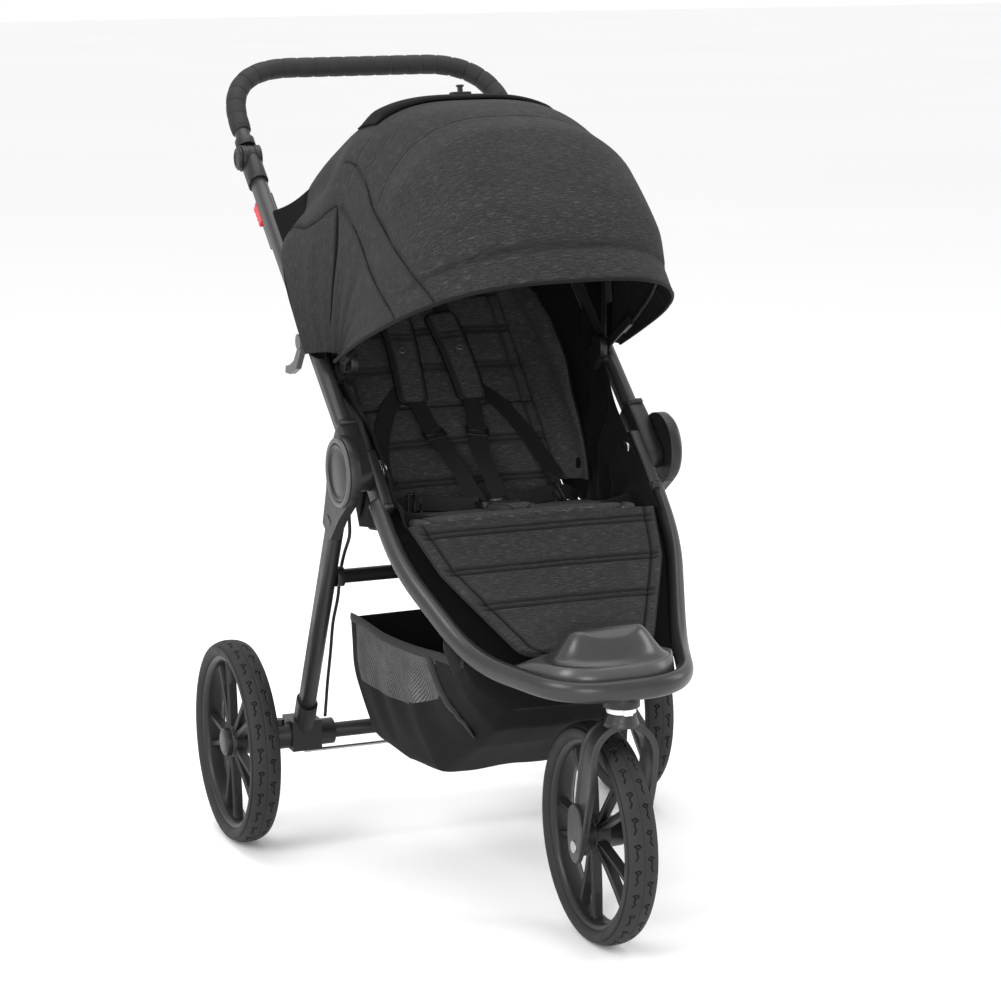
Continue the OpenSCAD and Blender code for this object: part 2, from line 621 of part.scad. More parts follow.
// Cloth between the backrest's edge and the upper tube
side_t = 3;
side_up = [100, 430]; // reach along the upper tube
function on_back_edge(r) = let (p = crease + r * [cos(back_angle), sin(back_angle)]
    + pad_t / 2 * [sin(back_angle), -cos(back_angle)]) [back_w / 2 + gap, p[0], p[1]];
module seat_side() {
  outer = upper_x - tube_w / 2 - gap - side_t;
  near = [on_back_edge(12), on_back_edge(back_l - 60), up_at(side_up[1], outer), up_at(side_up[0], outer)];
  far = [for (p = near) p + [side_t, 0, 0]];
  polyhedron(concat(near, far), [[0, 2, 1], [0, 3, 2], [4, 5, 6], [4, 6, 7],
    for (k = [0 : 3]) let (m = (k + 1) % 4) each [[k, m, m + 4], [k, m + 4, k + 4]]]);
}
module seat_side_left() { color(black_cloth) from_hub() mirror([1, 0, 0]) seat_side(); }
module seat_side_right() { color(black_cloth) from_hub() seat_side(); }

// Harness, placed on the seat and the backrest
module on_back(s) { at_yz(crease, back_angle) translate([0, s, gap]) children(); }
module on_seat(s) { at_yz(seat_front, seat_slope) translate([0, s, gap]) children(); }
module shoulder_pads() {
  color(black_cloth) from_hub() on_back(238) for (s = [-1, 1]) translate([s * 48, 0, 0]) rotate([0, 0, s * 4])
    slab(46, 160, 12, 10);
}
module waist_straps() {
  color(black_cloth) from_hub() on_seat(100) both_sides() translate([31, 26, 0]) cube([112, 24, 3]);
}
module buckle() {
  color(dark) from_hub() on_seat(94) difference() {
    translate([0, 0, 0]) slab(58, 44, 13, 8);
    translate([0, 22, 13 - 5]) cylinder(r = 9 + 0.15, h = 20);
  }
}
button_stroke = 3;
module buckle_button() {
  color(plate_grey) from_hub() on_seat(94) translate([0, 22, 13 - 5 + button_stroke + 0.4]) cylinder(r = 9, h = 4);
}
module crotch_pad() { color(cloth) from_hub() on_seat(28) slab(52, 64, 9, 8); }
module pull_strap() {
  color(black_cloth) from_hub() on_seat(seat_l - 44) for (s = [-1, 1]) translate([-90 + s * 12 - 10, 0, 0])
    cube([20, 30, 3]);
}

// ---- Caster fork ----
fork_x = 38; // inner faces of the fork arms
arm_t = 9;
pivot_ahead = 34; // suspension bolt to front axle
rocker_z = axle_z - 3;
bolt_y = -front_reach - pivot_ahead;
crown_z = wheel_d - 24 - hub_h; // middle of the arch over the wheel
crown_top = crown_z + fork_x + arm_t;
module fork() {
  color(frame_grey) from_hub() {
    difference() {
      union() {
        translate([0, swivel_y + 24, crown_z]) rotate([90, 0, 0]) cylinder(r = fork_x + arm_t, h = 38);
        translate([0, swivel_y, crown_z]) cylinder(r = 19, h = collar_z - crown_z - face_gap);
      }
      translate([0, swivel_y + 30, crown_z]) rotate([90, 0, 0]) cylinder(r = fork_x, h = 60);
      translate([-80, swivel_y - 40, crown_z - 80]) cube([160, 80, 80]);
      translate([0, swivel_y, crown_z]) cylinder(r = stem_r + run, h = 90);
    }
    both_sides() difference() {
      x_plate(fork_x, fork_x + arm_t) polygon([[swivel_y - 14, crown_z], [swivel_y + 24, crown_z],
        [bolt_y + 12, crown_z - 54], [bolt_y + 15, rocker_z + 30], [bolt_y + 15, rocker_z - 16],
        [bolt_y - 12, rocker_z - 16], [bolt_y - 22, rocker_z + 18], [swivel_y - 14, crown_z - 40]]);
      translate([0, bolt_y, rocker_z]) x_disc(0, 90, suspension_bolt_r + run);
    }
  }
}
module swivel_stem() {
  color("silver") from_hub() translate([0, swivel_y, crown_z + fork_x + 1]) cylinder(r = stem_r, h = loop_z - plate_under - 4 - crown_z - fork_x - 1);
}
suspension_bolt_r = 4;
rocker_t = 5;
rocker_in = fork_x - face_gap - rocker_t;
module suspension_arms() {
  color(frame_grey) from_hub() both_sides() difference() {
    x_plate(rocker_in, rocker_in + rocker_t) union() {
      translate([bolt_y, rocker_z]) circle(r = 13);
      translate([-front_reach, axle_z]) circle(r = 13);
      polygon([[bolt_y, rocker_z - 13], [-front_reach, axle_z - 13], [-front_reach + 12, axle_z + 6],
        [-front_reach - 4, axle_z + 34], [bolt_y - 4, rocker_z + 34]]);
    }
    translate([0, bolt_y, rocker_z]) x_disc(0, 90, suspension_bolt_r + run);
    translate([0, -front_reach, axle_z]) x_disc(0, 90, front_axle_r);
  }
}
module suspension_bolt() {
  color("silver") from_hub() both_sides() translate([0, bolt_y, rocker_z]) {
    x_disc(rocker_in - 1, fork_x + arm_t + 1, suspension_bolt_r);
    x_disc(fork_x + arm_t + gap, fork_x + arm_t + 4, suspension_bolt_r + 4);
  }
}
front_axle_r = 5;
front_hub_l = 2 * rocker_in - 2 * 1.5;
module front_axle() {
  color("silver") from_hub() translate([0, -front_reach, axle_z]) x_disc(-rocker_in - rocker_t, rocker_in + rocker_t, front_axle_r);
}

// ---- Wheels ----
rim_t = 7;
module x_turned() { rotate([0, 90, 0]) rotate_extrude($fn = 96) children(); }
module tyre() {
  bead = tyre_w / 2 - 8;
  x_turned() polygon([[rim_r, -bead], [rim_r + 6, -tyre_w / 2 + 1], [wheel_r - 10, -tyre_w / 2], [wheel_r - 3, -tyre_w / 2 + 6],
    [wheel_r, -10], [wheel_r, 10], [wheel_r - 3, tyre_w / 2 - 6], [wheel_r - 10, tyre_w / 2], [rim_r + 6, tyre_w / 2 - 1],
    [rim_r, bead]]);
}
module rim(hub_in, hub_out, bore, bore_end) {
  bead = tyre_w / 2 - 8;
  difference() {
    union() {
      x_turned() polygon([[rim_r - rim_t, -bead], [rim_r, -bead], [rim_r, bead], [rim_r - rim_t, bead]]);
      x_disc(-hub_in, hub_out, wheel_hub_r);
      x_plate(-6, 6) difference() {
        for (k = [0 : spokes - 1]) rotate(360 * k / spokes) translate([0, -6]) square([rim_r - rim_t + 1, 12]);
        circle(r = wheel_hub_r - 1);
      }
    }
    x_disc(-hub_in - 1, bore_end, bore + run);
  }
}
module at_wheel(x, y) { from_hub() translate([x, y, axle_z]) children(); }
module rear_tyre_left() { color(dark) at_wheel(-wheel_x, rear_reach) tyre(); }
module rear_tyre_right() { color(dark) at_wheel(wheel_x, rear_reach) tyre(); }
module front_tyre() { color(dark) at_wheel(0, -front_reach) tyre(); }
hub_out = tyre_w / 2; // a rear hub's cap ends level with the tyre
module rear_rim() { rim(wheel_hub_l - hub_out, hub_out, axle_r, hub_out - 4); }
module rear_rim_left() { color(frame_grey) at_wheel(-wheel_x, rear_reach) mirror([1, 0, 0]) rear_rim(); }
module rear_rim_right() { color(frame_grey) at_wheel(wheel_x, rear_reach) rear_rim(); }
module front_rim() { color(frame_grey) at_wheel(0, -front_reach) rim(front_hub_l / 2, front_hub_l / 2, front_axle_r, front_hub_l); }

upper_tube_left();
upper_tube_right();
upper_castings();
hub_bolts();
hub_discs();
handle_sockets();
fold_lock_bar();
canopy_mounts();
canopy_rear();
seat_side_left();
seat_side_right();
lower_back();
rear_leg_left();
rear_leg_right();
axle_brackets();
rear_axle();
brake_rod();
mid_crossbar();
brake_cables();
basket();
front_loop();
loop_castings();
footplate();
caster_housing();
seat_cushion();
waist_straps();
crotch_pad();
buckle();
pull_strap();
calf_panel();
handle_tube();
handle_grip();
handle_joints();
canopy_bow_middle();
canopy_middle();
canopy_bow_front();
canopy_front();
backrest();
shoulder_pads();
swivel_lock();
fork();
swivel_stem();
suspension_arms();
suspension_bolt();
front_axle();
front_tyre();
front_rim();
rear_tyre_left();
rear_rim_left();
rear_tyre_right();
rear_rim_right();
brake_lever();
fold_latch();
buckle_button();
wheel_release_left();
wheel_release_right();
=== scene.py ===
"""Baby stroller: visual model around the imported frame. Metres, +Z up, front towards -Y."""
import json
import math

import bmesh
import bpy
import numpy as np
from mathutils import Matrix, Vector, noise


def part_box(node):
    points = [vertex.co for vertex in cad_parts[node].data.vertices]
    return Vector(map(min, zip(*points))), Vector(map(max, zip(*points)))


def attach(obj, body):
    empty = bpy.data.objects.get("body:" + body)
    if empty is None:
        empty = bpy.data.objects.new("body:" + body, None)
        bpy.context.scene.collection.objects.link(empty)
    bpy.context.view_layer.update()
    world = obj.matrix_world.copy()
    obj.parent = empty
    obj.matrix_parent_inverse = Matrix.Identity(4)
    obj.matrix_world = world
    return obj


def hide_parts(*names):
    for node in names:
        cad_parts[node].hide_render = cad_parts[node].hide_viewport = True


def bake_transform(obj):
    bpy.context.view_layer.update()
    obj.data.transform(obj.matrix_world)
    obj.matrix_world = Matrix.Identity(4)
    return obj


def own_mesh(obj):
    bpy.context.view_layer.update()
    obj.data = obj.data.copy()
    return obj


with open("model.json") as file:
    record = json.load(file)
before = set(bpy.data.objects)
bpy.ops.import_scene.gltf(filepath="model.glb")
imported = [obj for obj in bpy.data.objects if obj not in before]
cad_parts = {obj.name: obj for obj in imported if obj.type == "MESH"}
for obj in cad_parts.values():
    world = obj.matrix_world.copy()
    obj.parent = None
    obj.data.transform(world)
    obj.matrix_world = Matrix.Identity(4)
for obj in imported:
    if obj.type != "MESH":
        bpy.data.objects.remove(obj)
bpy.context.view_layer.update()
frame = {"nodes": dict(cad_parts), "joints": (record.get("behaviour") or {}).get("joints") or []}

JOINTS = {j["name"]: j for j in frame["joints"]}
NODES = frame["nodes"]


def joint_at(name):
    """Point of a hinge in (y, z)."""
    return np.array(JOINTS[name]["pos_m"][1:], float)


# ---------------------------------------------------------------- driving places
HUB = joint_at("rear_frame_fold")
HANDLE_PIVOT = joint_at("handlebar_tilt")
CANOPY_PIVOT = joint_at("canopy_middle_fold")
CREASE = joint_at("backrest_recline")
SEAT_FRONT = joint_at("calf_raise")
FRONT_AXLE = joint_at("front_wheel_spin")
REAR_AXLE = joint_at("rear_wheel_left_spin")
SWIVEL_Y = JOINTS["caster_swivel"]["pos_m"][1]
BOLT = joint_at("suspension_travel")
WHEEL_X = abs(JOINTS["rear_wheel_left_spin"]["pos_m"][0])
WHEEL_R = (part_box("front_tyre")[1].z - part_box("front_tyre")[0].z) / 2
TYRE_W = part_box("front_tyre")[1].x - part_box("front_tyre")[0].x
TUBE_X = (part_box("upper_tube_right")[0].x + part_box("upper_tube_right")[1].x) / 2
TUBE_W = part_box("upper_tube_right")[1].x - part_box("upper_tube_right")[0].x
TUBE_D = 0.029
UPPER_DIR = (HANDLE_PIVOT - HUB) / np.linalg.norm(HANDLE_PIVOT - HUB)
UPPER_ANGLE = math.atan2(UPPER_DIR[1], UPPER_DIR[0])


# ---------------------------------------------------------------- mesh helpers
def new_piece(name, verts, faces, smooth=True):
    mesh = bpy.data.meshes.new(name)
    mesh.from_pydata([tuple(v) for v in verts], [], [tuple(f) for f in faces])
    mesh.validate()
    mesh.update()
    if smooth:
        mesh.shade_smooth()
    obj = bpy.data.objects.new(name, mesh)
    bpy.context.scene.collection.objects.link(obj)
    return obj


def apply_modifiers(obj):
    """Bakes the object's modifiers into its mesh."""
    graph = bpy.context.evaluated_depsgraph_get()
    mesh = bpy.data.meshes.new_from_object(obj.evaluated_get(graph))
    obj.modifiers.clear()
    obj.data = mesh
    return obj


def join(name, *objs):
    """Joins pieces into one object called name."""
    bm = bmesh.new()
    mats = []
    for o in objs:
        start = len(bm.faces)
        slot_map = []
        for m in o.data.materials:
            if m not in mats:
                mats.append(m)
            slot_map.append(mats.index(m))
        bm.from_mesh(o.data)
        bm.faces.ensure_lookup_table()
        for f in bm.faces[start:]:
            f.material_index = slot_map[f.material_index] if slot_map else 0
    mesh = bpy.data.meshes.new(name)
    bm.to_mesh(mesh)
    bm.free()
    for m in mats:
        mesh.materials.append(m)
    for o in objs:
        bpy.data.objects.remove(o, do_unlink=True)
    obj = bpy.data.objects.new(name, mesh)
    bpy.context.scene.collection.objects.link(obj)
    return obj


def grid_faces(rows, cols, closed_cols=False, start=0):
    """Quads of a grid of points given row by row."""
    last = cols if closed_cols else cols - 1
    return [
        (start + r * cols + c, start + r * cols + (c + 1) % cols,
         start + (r + 1) * cols + (c + 1) % cols, start + (r + 1) * cols + c)
        for r in range(rows - 1) for c in range(last)
    ]


def rounded_path(points, trims, steps=10):
    """Path through corner points, each inner corner rounded over its trim length."""
    pts = [np.array(p, float) for p in points]
    out = [pts[0]]
    for i in range(1, len(pts) - 1):
        a, b, c = pts[i - 1], pts[i], pts[i + 1]
        p = b + (a - b) / np.linalg.norm(a - b) * trims[i]
        q = b + (c - b) / np.linalg.norm(c - b) * trims[i]
        for k in np.linspace(0, 1, steps + 1):
            out.append((1 - k) ** 2 * p + 2 * k * (1 - k) * b + k * k * q)
    out.append(pts[-1])
    return out


def smooth_path(points, steps=8):
    """Catmull-Rom curve through the points."""
    pts = [np.array(p, float) for p in points]
    pts = [2 * pts[0] - pts[1]] + pts + [2 * pts[-1] - pts[-2]]
    out = []
    for i in range(1, len(pts) - 2):
        p0, p1, p2, p3 = pts[i - 1:i + 3]
        for k in np.arange(steps) / steps:
            out.append(0.5 * (2 * p1 + (p2 - p0) * k + (2 * p0 - 5 * p1 + 4 * p2 - p3) * k * k
                              + (3 * p1 - p0 - 3 * p2 + p3) * k ** 3))
    out.append(pts[-2])
    return out


def resample(path, step):
    """Evenly spaced points along a path."""
    pts = np.array(path)
    cut = np.concatenate([[0], np.cumsum(np.linalg.norm(np.diff(pts, axis=0), axis=1))])
    n = max(int(round(cut[-1] / step)), 1)
    return [np.array([np.interp(t, cut, pts[:, i]) for i in range(3)]) for t in np.linspace(0, cut[-1],
                                                                                            n + 1)]


def ellipse(a, b, sides=32):
    return [(a / 2 * math.cos(t), b / 2 * math.sin(t)) for t in np.arange(sides) * 2 * math.pi / sides]


def rounded_rect(w, h, r, n=4):
    out = []
    for cx, cy, a0 in ((w / 2 - r, h / 2 - r, 0), (-w / 2 + r, h / 2 - r, 90),
                       (-w / 2 + r, -h / 2 + r, 180), (w / 2 - r, -h / 2 + r, 270)):
        for k in range(n + 1):
            a = math.radians(a0 + 90 * k / n)
            out.append((cx + r * math.cos(a), cy + r * math.sin(a)))
    return out


def sweep(name, path, section, up=(0, 0, 1), scale=None):
    """Section (side, up) swept along path; scale(i / last) sizes it."""
    path = [np.array(p, float) for p in path]
    fixed = None if callable(up) else np.array(up, float)
    rings, n, m = [], len(path), len(section)
    for i, p in enumerate(path):
        t = path[min(i + 1, n - 1)] - path[max(i - 1, 0)]
        t /= np.linalg.norm(t)
        u_ref = up(i) if fixed is None else fixed
        s = np.cross(t, u_ref)
        s /= np.linalg.norm(s)
        u = np.cross(s, t)
        k = scale(i / (n - 1)) if scale else 1
        rings += [p + s * a * k + u * b * k for a, b in section]
    faces = grid_faces(n, m, closed_cols=True)
    faces += [tuple(range(m - 1, -1, -1)), tuple(range((n - 1) * m, n * m))]
    return new_piece(name, rings, faces)


def turned(name, profile, centre, sides=96):
    """Closed profile [(radius, along)] turned about a line along X through centre."""
    n = len(profile)
    verts = []
    for k in range(sides):
        a = 2 * math.pi * k / sides
        for r, x in profile:
            verts.append((x + centre[0], r * math.cos(a) + centre[1], r * math.sin(a) + centre[2]))
    faces = [(k * n + i, k * n + (i + 1) % n, ((k + 1) % sides) * n + (i + 1) % n, ((k + 1) % sides) * n + i)
             for k in range(sides) for i in range(n)]
    return new_piece(name, verts, faces)


def lathe(name, profile, centre, sides=64, axis="X"):
    """Open profile [(radius, along)] that starts and ends on the axis."""
    verts, ring = [], []
    for r, x in profile:
        if r < 1e-6:
            ring.append([len(verts)])
            verts.append((x, 0, 0) if axis == "X" else (0, 0, x))
        else:
            ring.append(list(range(len(verts), len(verts) + sides)))
            for k in range(sides):
                a = 2 * math.pi * k / sides
                verts.append((x, r * math.cos(a), r * math.sin(a)) if axis == "X"
                             else (r * math.cos(a), r * math.sin(a), x))
    faces = []
    for a, b in zip(ring, ring[1:]):
        for k in range(sides):
            j = (k + 1) % sides
            if len(a) == 1:
                faces.append((a[0], b[k], b[j]))
            elif len(b) == 1:
                faces.append((a[k], b[0], a[j]))
            else:
                faces.append((a[k], b[k], b[j], a[j]))
    verts = [tuple(np.array(v) + np.array(centre)) for v in verts]
    return new_piece(name, verts, faces)


def extruded(name, outline, depth, place, bevel=0.0, segments=3):
    """Outline [(a, b)] given depth; place(a, b, c) puts a point in the frame. Edges are bevelled."""
    n = len(outline)
    verts = [place(a, b, 0) for a, b in outline] + [place(a, b, depth) for a, b in outline]
    faces = [tuple(range(n - 1, -1, -1)), tuple(range(n, 2 * n))]
    faces += [(i, (i + 1) % n, n + (i + 1) % n, n + i) for i in range(n)]
    obj = new_piece(name, verts, faces, smooth=False)
    bm = bmesh.new()
    bm.from_mesh(obj.data)
    bmesh.ops.recalc_face_normals(bm, faces=bm.faces)
    bm.to_mesh(obj.data)
    bm.free()
    if bevel:
        add_bevel(obj, bevel, segments)
        apply_modifiers(obj)
    obj.data.shade_smooth()
    return obj


def add_bevel(obj, width, segments=3, angle=30):
    mod = obj.modifiers.new("bevel", "BEVEL")
    mod.width = width
    mod.segments = segments
    mod.limit_method = "ANGLE"
    mod.angle_limit = math.radians(angle)
    mod.harden_normals = True
    return mod


def add_solidify(obj, thickness, offset=-1.0):
    mod = obj.modifiers.new("thickness", "SOLIDIFY")
    mod.thickness = thickness
    mod.offset = offset
    return mod


def weave_from(obj, fn):
    """Stores cloth coordinates, in metres, for the weave: fn(co) -> (along, across)."""
    layer = obj.data.attributes.get("weave") or obj.data.attributes.new("weave", "FLOAT_VECTOR", "POINT")
    for i, v in enumerate(obj.data.vertices):
        a, b = fn(v.co)
        layer.data[i].vector = (a, b, 0.0)


# ---------------------------------------------------------------- materials
def new_material(name):
    mat = bpy.data.materials.new(name)
    mat.use_nodes = True
    tree = mat.node_tree
    shader = tree.nodes["Principled BSDF"]
    return mat, tree, shader


def add_node(tree, kind, **values):
    node = tree.nodes.new(kind)
    for key, value in values.items():
        if key in node.inputs:
            node.inputs[key].default_value = value
        else:
            setattr(node, key, value)
    return node


def ramp(tree, source, stops):
    node = tree.nodes.new("ShaderNodeValToRGB")
    while len(node.color_ramp.elements) < len(stops):
        node.color_ramp.elements.new(0.5)
    for element, (at, colour) in zip(node.color_ramp.elements, stops):
        element.position = at
        element.color = (*colour, 1)
    tree.links.new(source, node.inputs["Fac"])
    return node.outputs["Color"]


def grey(v, tint=0.0):
    return (v, v, v * (1 + tint))


def noise_field(tree, coords, scale, stretch=(1, 1, 1), detail=3.0, rough=0.55):
    mapping = add_node(tree, "ShaderNodeMapping")
    mapping.inputs["Scale"].default_value = stretch
    tree.links.new(coords, mapping.inputs["Vector"])
    field = add_node(tree, "ShaderNodeTexNoise", Scale=scale, Detail=detail, Roughness=rough)
    tree.links.new(mapping.outputs["Vector"], field.inputs["Vector"])
    return field.outputs["Fac"]


def multiply(tree, a, b):
    node = tree.nodes.new("ShaderNodeMix")
    node.data_type = "RGBA"
    node.blend_type = "MULTIPLY"
    node.inputs["Factor"].default_value = 1.0
    tree.links.new(a, node.inputs["A"])
    tree.links.new(b, node.inputs["B"])
    return node.outputs["Result"]


def bumped(tree, shader, height, distance, strength=1.0):
    node = add_node(tree, "ShaderNodeBump", Strength=strength, Distance=distance)
    tree.links.new(height, node.inputs["Height"])
    tree.links.new(node.outputs["Normal"], shader.inputs["Normal"])
    return node


def groove_shade(tree, colour, dark=0.30):
    """Painted shade: darkens the colour where the weave attribute's third value says there is a seam or a
    cut.
    """
    split = tree.nodes.new("ShaderNodeSeparateXYZ")
    tree.links.new(weave_coords(tree), split.inputs["Vector"])
    shade = ramp(tree, split.outputs["Z"], [(0.05, (1, 1, 1)), (0.9, grey(dark))])
    return multiply(tree, colour, shade)


def object_coords(tree):
    return tree.nodes.new("ShaderNodeTexCoord").outputs["Object"]


def weave_coords(tree):
    node = tree.nodes.new("ShaderNodeAttribute")
    node.attribute_name = "weave"
    return node.outputs["Vector"]


def melange(name, dark, light, streak, rough=0.9):
    """Heather cloth: dark and light fibres, with thin paler threads along the weave."""
    mat, tree, shader = new_material(name)
    coords = weave_coords(tree)
    fibre = noise_field(tree, coords, 520, (0.35, 2.2, 1), 4, 0.7)
    base = ramp(tree, fibre, [(0.30, grey(dark, 0.02)), (0.52, grey((dark + light) / 2, 0.02)),
                              (0.72, grey(light, 0.03))])
    threads = noise_field(tree, coords, 60, (1, 22, 1), 3, 0.65)
    pale = ramp(tree, threads, [(0.50, grey(0.85)), (0.60, grey(streak * 0.7)), (0.70, grey(streak * 1.25))])
    patches = noise_field(tree, coords, 9, (1, 3, 1), 3, 0.5)
    tone = ramp(tree, patches, [(0.3, grey(0.88)), (0.7, grey(1.1))])
    # painted shade along the seams and stitch lines
    colour = groove_shade(tree, multiply(tree, multiply(tree, base, pale), tone))
    tree.links.new(colour, shader.inputs["Base Color"])
    weave = add_node(tree, "ShaderNodeTexWave", Scale=180.0, Distortion=1.2, Detail=1.0)
    weave.bands_direction = "DIAGONAL"
    weave.inputs["Detail Scale"].default_value = 2.0
    tree.links.new(coords, weave.inputs["Vector"])
    height = tree.nodes.new("ShaderNodeMath")
    height.operation = "ADD"
    tree.links.new(weave.outputs["Fac"], height.inputs[0])
    tree.links.new(fibre, height.inputs[1])
    bumped(tree, shader, height.outputs[0], 0.0003, 0.55)
    shader.inputs["Roughness"].default_value = rough
    shader.inputs["Specular IOR Level"].default_value = 0.10
    shader.inputs["Sheen Weight"].default_value = 0.03
    shader.inputs["Sheen Roughness"].default_value = 0.5
    return mat


def plain_cloth(name, dark, light, rib=700.0, rough=0.85, sheen=0.02, spec=0.12):
    """Plain woven or webbing cloth with fine ribs."""
    mat, tree, shader = new_material(name)
    coords = weave_coords(tree)
    fibre = noise_field(tree, coords, 600, (0.6, 1.4, 1), 3, 0.6)
    tree.links.new(ramp(tree, fibre, [(0.3, grey(dark)), (0.7, grey(light))]), shader.inputs["Base Color"])
    ribs = add_node(tree, "ShaderNodeTexWave", Scale=rib / 6.283, Distortion=0.4, Detail=1.0)
    ribs.bands_direction = "Y"
    tree.links.new(coords, ribs.inputs["Vector"])
    bumped(tree, shader, ribs.outputs["Fac"], 0.0004, 0.5)
    shader.inputs["Roughness"].default_value = rough
    shader.inputs["Specular IOR Level"].default_value = spec
    shader.inputs["Sheen Weight"].default_value = sheen
    return mat


def moulded(name, value, rough, grain=900.0, grain_depth=0.00006, metallic=0.0, wear=0.25, tint=0.02,
            spec=0.5):
    """Painted metal or moulded plastic: fine grain, slight cloudiness and paler worn edges."""
    mat, tree, shader = new_material(name)
    coords = object_coords(tree)
    cloud = noise_field(tree, coords, 14, (1, 1, 1), 4, 0.6)
    base = ramp(tree, cloud, [(0.3, grey(value * 0.9, tint)), (0.7, grey(value * 1.1, tint))])
    geometry = tree.nodes.new("ShaderNodeNewGeometry")
    worn = ramp(tree, geometry.outputs["Pointiness"], [(0.50, (1, 1, 1)), (0.58, grey(1 + wear))])
    # painted shade in the tyre's tread cuts and sidewall groove
    tree.links.new(groove_shade(tree, multiply(tree, base, worn), 0.04), shader.inputs["Base Color"])
    fine = noise_field(tree, coords, grain, (1, 1, 1), 2, 0.5)
    smear = noise_field(tree, coords, 30, (1, 1, 1), 4, 0.6)
    tree.links.new(ramp(tree, smear, [(0.3, grey(rough * 0.88)), (0.7, grey(min(rough * 1.12, 1)))]),
                   shader.inputs["Roughness"])
    bumped(tree, shader, fine, grain_depth, 0.5)
    shader.inputs["Metallic"].default_value = metallic
    shader.inputs["Specular IOR Level"].default_value = spec
    return mat


MAT = {
    "frame": moulded("satin_grey_frame", 0.023, 0.34, metallic=0.2, wear=0.25, spec=0.45),
    "casting": moulded("black_casting", 0.0085, 0.42, spec=0.35),
    "disc": moulded("black_disc", 0.004, 0.30, grain_depth=0.00003, spec=0.3),
    "fork": moulded("fork_grey", 0.016, 0.38, spec=0.4),
    "plate": moulded("foot_plate_grey", 0.042, 0.30, grain_depth=0.00003, spec=0.45),
    "hood": moulded("hood_grey", 0.020, 0.26, grain_depth=0.00003, spec=0.5),
    "grip": moulded("grip_rubber", 0.016, 0.62, grain=500, grain_depth=0.0002, spec=0.25),
    "tyre": moulded("tyre_rubber", 0.019, 0.66, grain=700, grain_depth=0.0002, spec=0.25),
    "rim": moulded("rim_plastic", 0.011, 0.40, spec=0.35),
    "steel": moulded("bright_steel", 0.45, 0.28, metallic=1.0, grain=1500, wear=0.1),
    "red": moulded("red_plastic", 0.05, 0.35),
    "pale": moulded("pale_plastic", 0.60, 0.40, tint=-0.03),
    "lever": moulded("lever_grey", 0.055, 0.38, spec=0.4),
    "cloth": melange("charcoal_melange", 0.010, 0.036, 2.3),
    "calf": melange("calf_melange", 0.011, 0.038, 2.4),
    # Painted light: the pads' melange is a lighter copy of the charcoal cloth, to lift the canopy's shade
    # inside the seat.
    "pad": melange("seat_melange", 0.020, 0.072, 2.2),
    "lining": plain_cloth("black_lining", 0.003, 0.006, spec=0.08),
    "webbing": plain_cloth("black_webbing", 0.008, 0.016, rib=2600.0, rough=0.6, spec=0.2),
    "piping": plain_cloth("black_piping", 0.004, 0.008, rib=3000.0, rough=0.75),
    "basket": plain_cloth("basket_cloth", 0.0035, 0.0065, rib=1200.0, rough=0.8, spec=0.10),
    "bolster": plain_cloth("grey_satin_cloth", 0.018, 0.030, rib=1500.0, rough=0.6, spec=0.3),
}
red_ramp = [n for n in MAT["red"].node_tree.nodes if n.type == "VALTORGB"][0].color_ramp
red_ramp.elements[0].color = (0.42, 0.006, 0.012, 1)
red_ramp.elements[1].color = (0.50, 0.009, 0.016, 1)


def paint(obj, key):
    obj.data.materials.clear()
    obj.data.materials.append(MAT[key])
    return obj


# ---------------------------------------------------------------- places shared by pieces
def at(x, y, z):
    """Point given from the fold axis."""
    return np.array((x, HUB[0] + y, HUB[1] + z))


def side_place(x, centre, slope, sign=1):
    """place() for outlines drawn in a side view: a along the slope, b across it, c outwards."""
    ca, sa = math.cos(slope), math.sin(slope)
    return lambda a, b, c: (sign * (x + c), centre[0] + a * ca - b * sa, centre[1] + a * sa + b * ca)


SWIVEL = SWIVEL_Y - HUB[0]
LOOP_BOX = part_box("front_loop")
LOOP_Z = LOOP_BOX[0].z + TUBE_D / 2 - HUB[1]
BAR_Y = LOOP_BOX[0].y + TUBE_W / 2 - HUB[0]
LOOP_X = 0.204
LOOP_ANGLE = math.radians(42.5)


# ---------------------------------------------------------------- wheels
TREAD_PERIODS = 27
TREAD_CUT = 0.0021


def sipe_segments(side):
    """Branching cut of one tread block, in (across, along) metres."""
    mm = 0.001
    main = [(11.5, 10.5), (8.6, 5.5), (10.4, 1.0), (9.2, -4.0), (4.6, -6.6)]
    branch = [(9.2, -4.0), (12.4, -8.2), (7.2, -9.4), (4.6, -6.6)]
    lines = [main, branch]
    return [((side * a[0] * mm, a[1] * mm), (side * b[0] * mm, b[1] * mm))
            for line in lines for a, b in zip(line, line[1:])]


def tread_depth(across, along, period):
    """How deep the tread is cut at each point."""
    depth = np.zeros_like(across)
    for side, shift in ((1, 0.0), (-1, 0.5)):
        local = (along / period + shift) % 1.0 * period - period / 2
        near = np.full_like(across, 1.0)
        for (ax, ay), (bx, by) in sipe_segments(side):
            vx, vy = bx - ax, by - ay
            k = np.clip(((across - ax) * vx + (local - ay) * vy) / (vx * vx + vy * vy), 0, 1)
            near = np.minimum(near, np.hypot(across - ax - k * vx, local - ay - k * vy))
        depth = np.maximum(depth, TREAD_CUT * np.clip(1.7 - near / 0.00075, 0, 1))
    middle = np.clip(1.5 - np.abs(across) / 0.0008, 0, 1) * 0.0006
    return np.maximum(depth, middle)


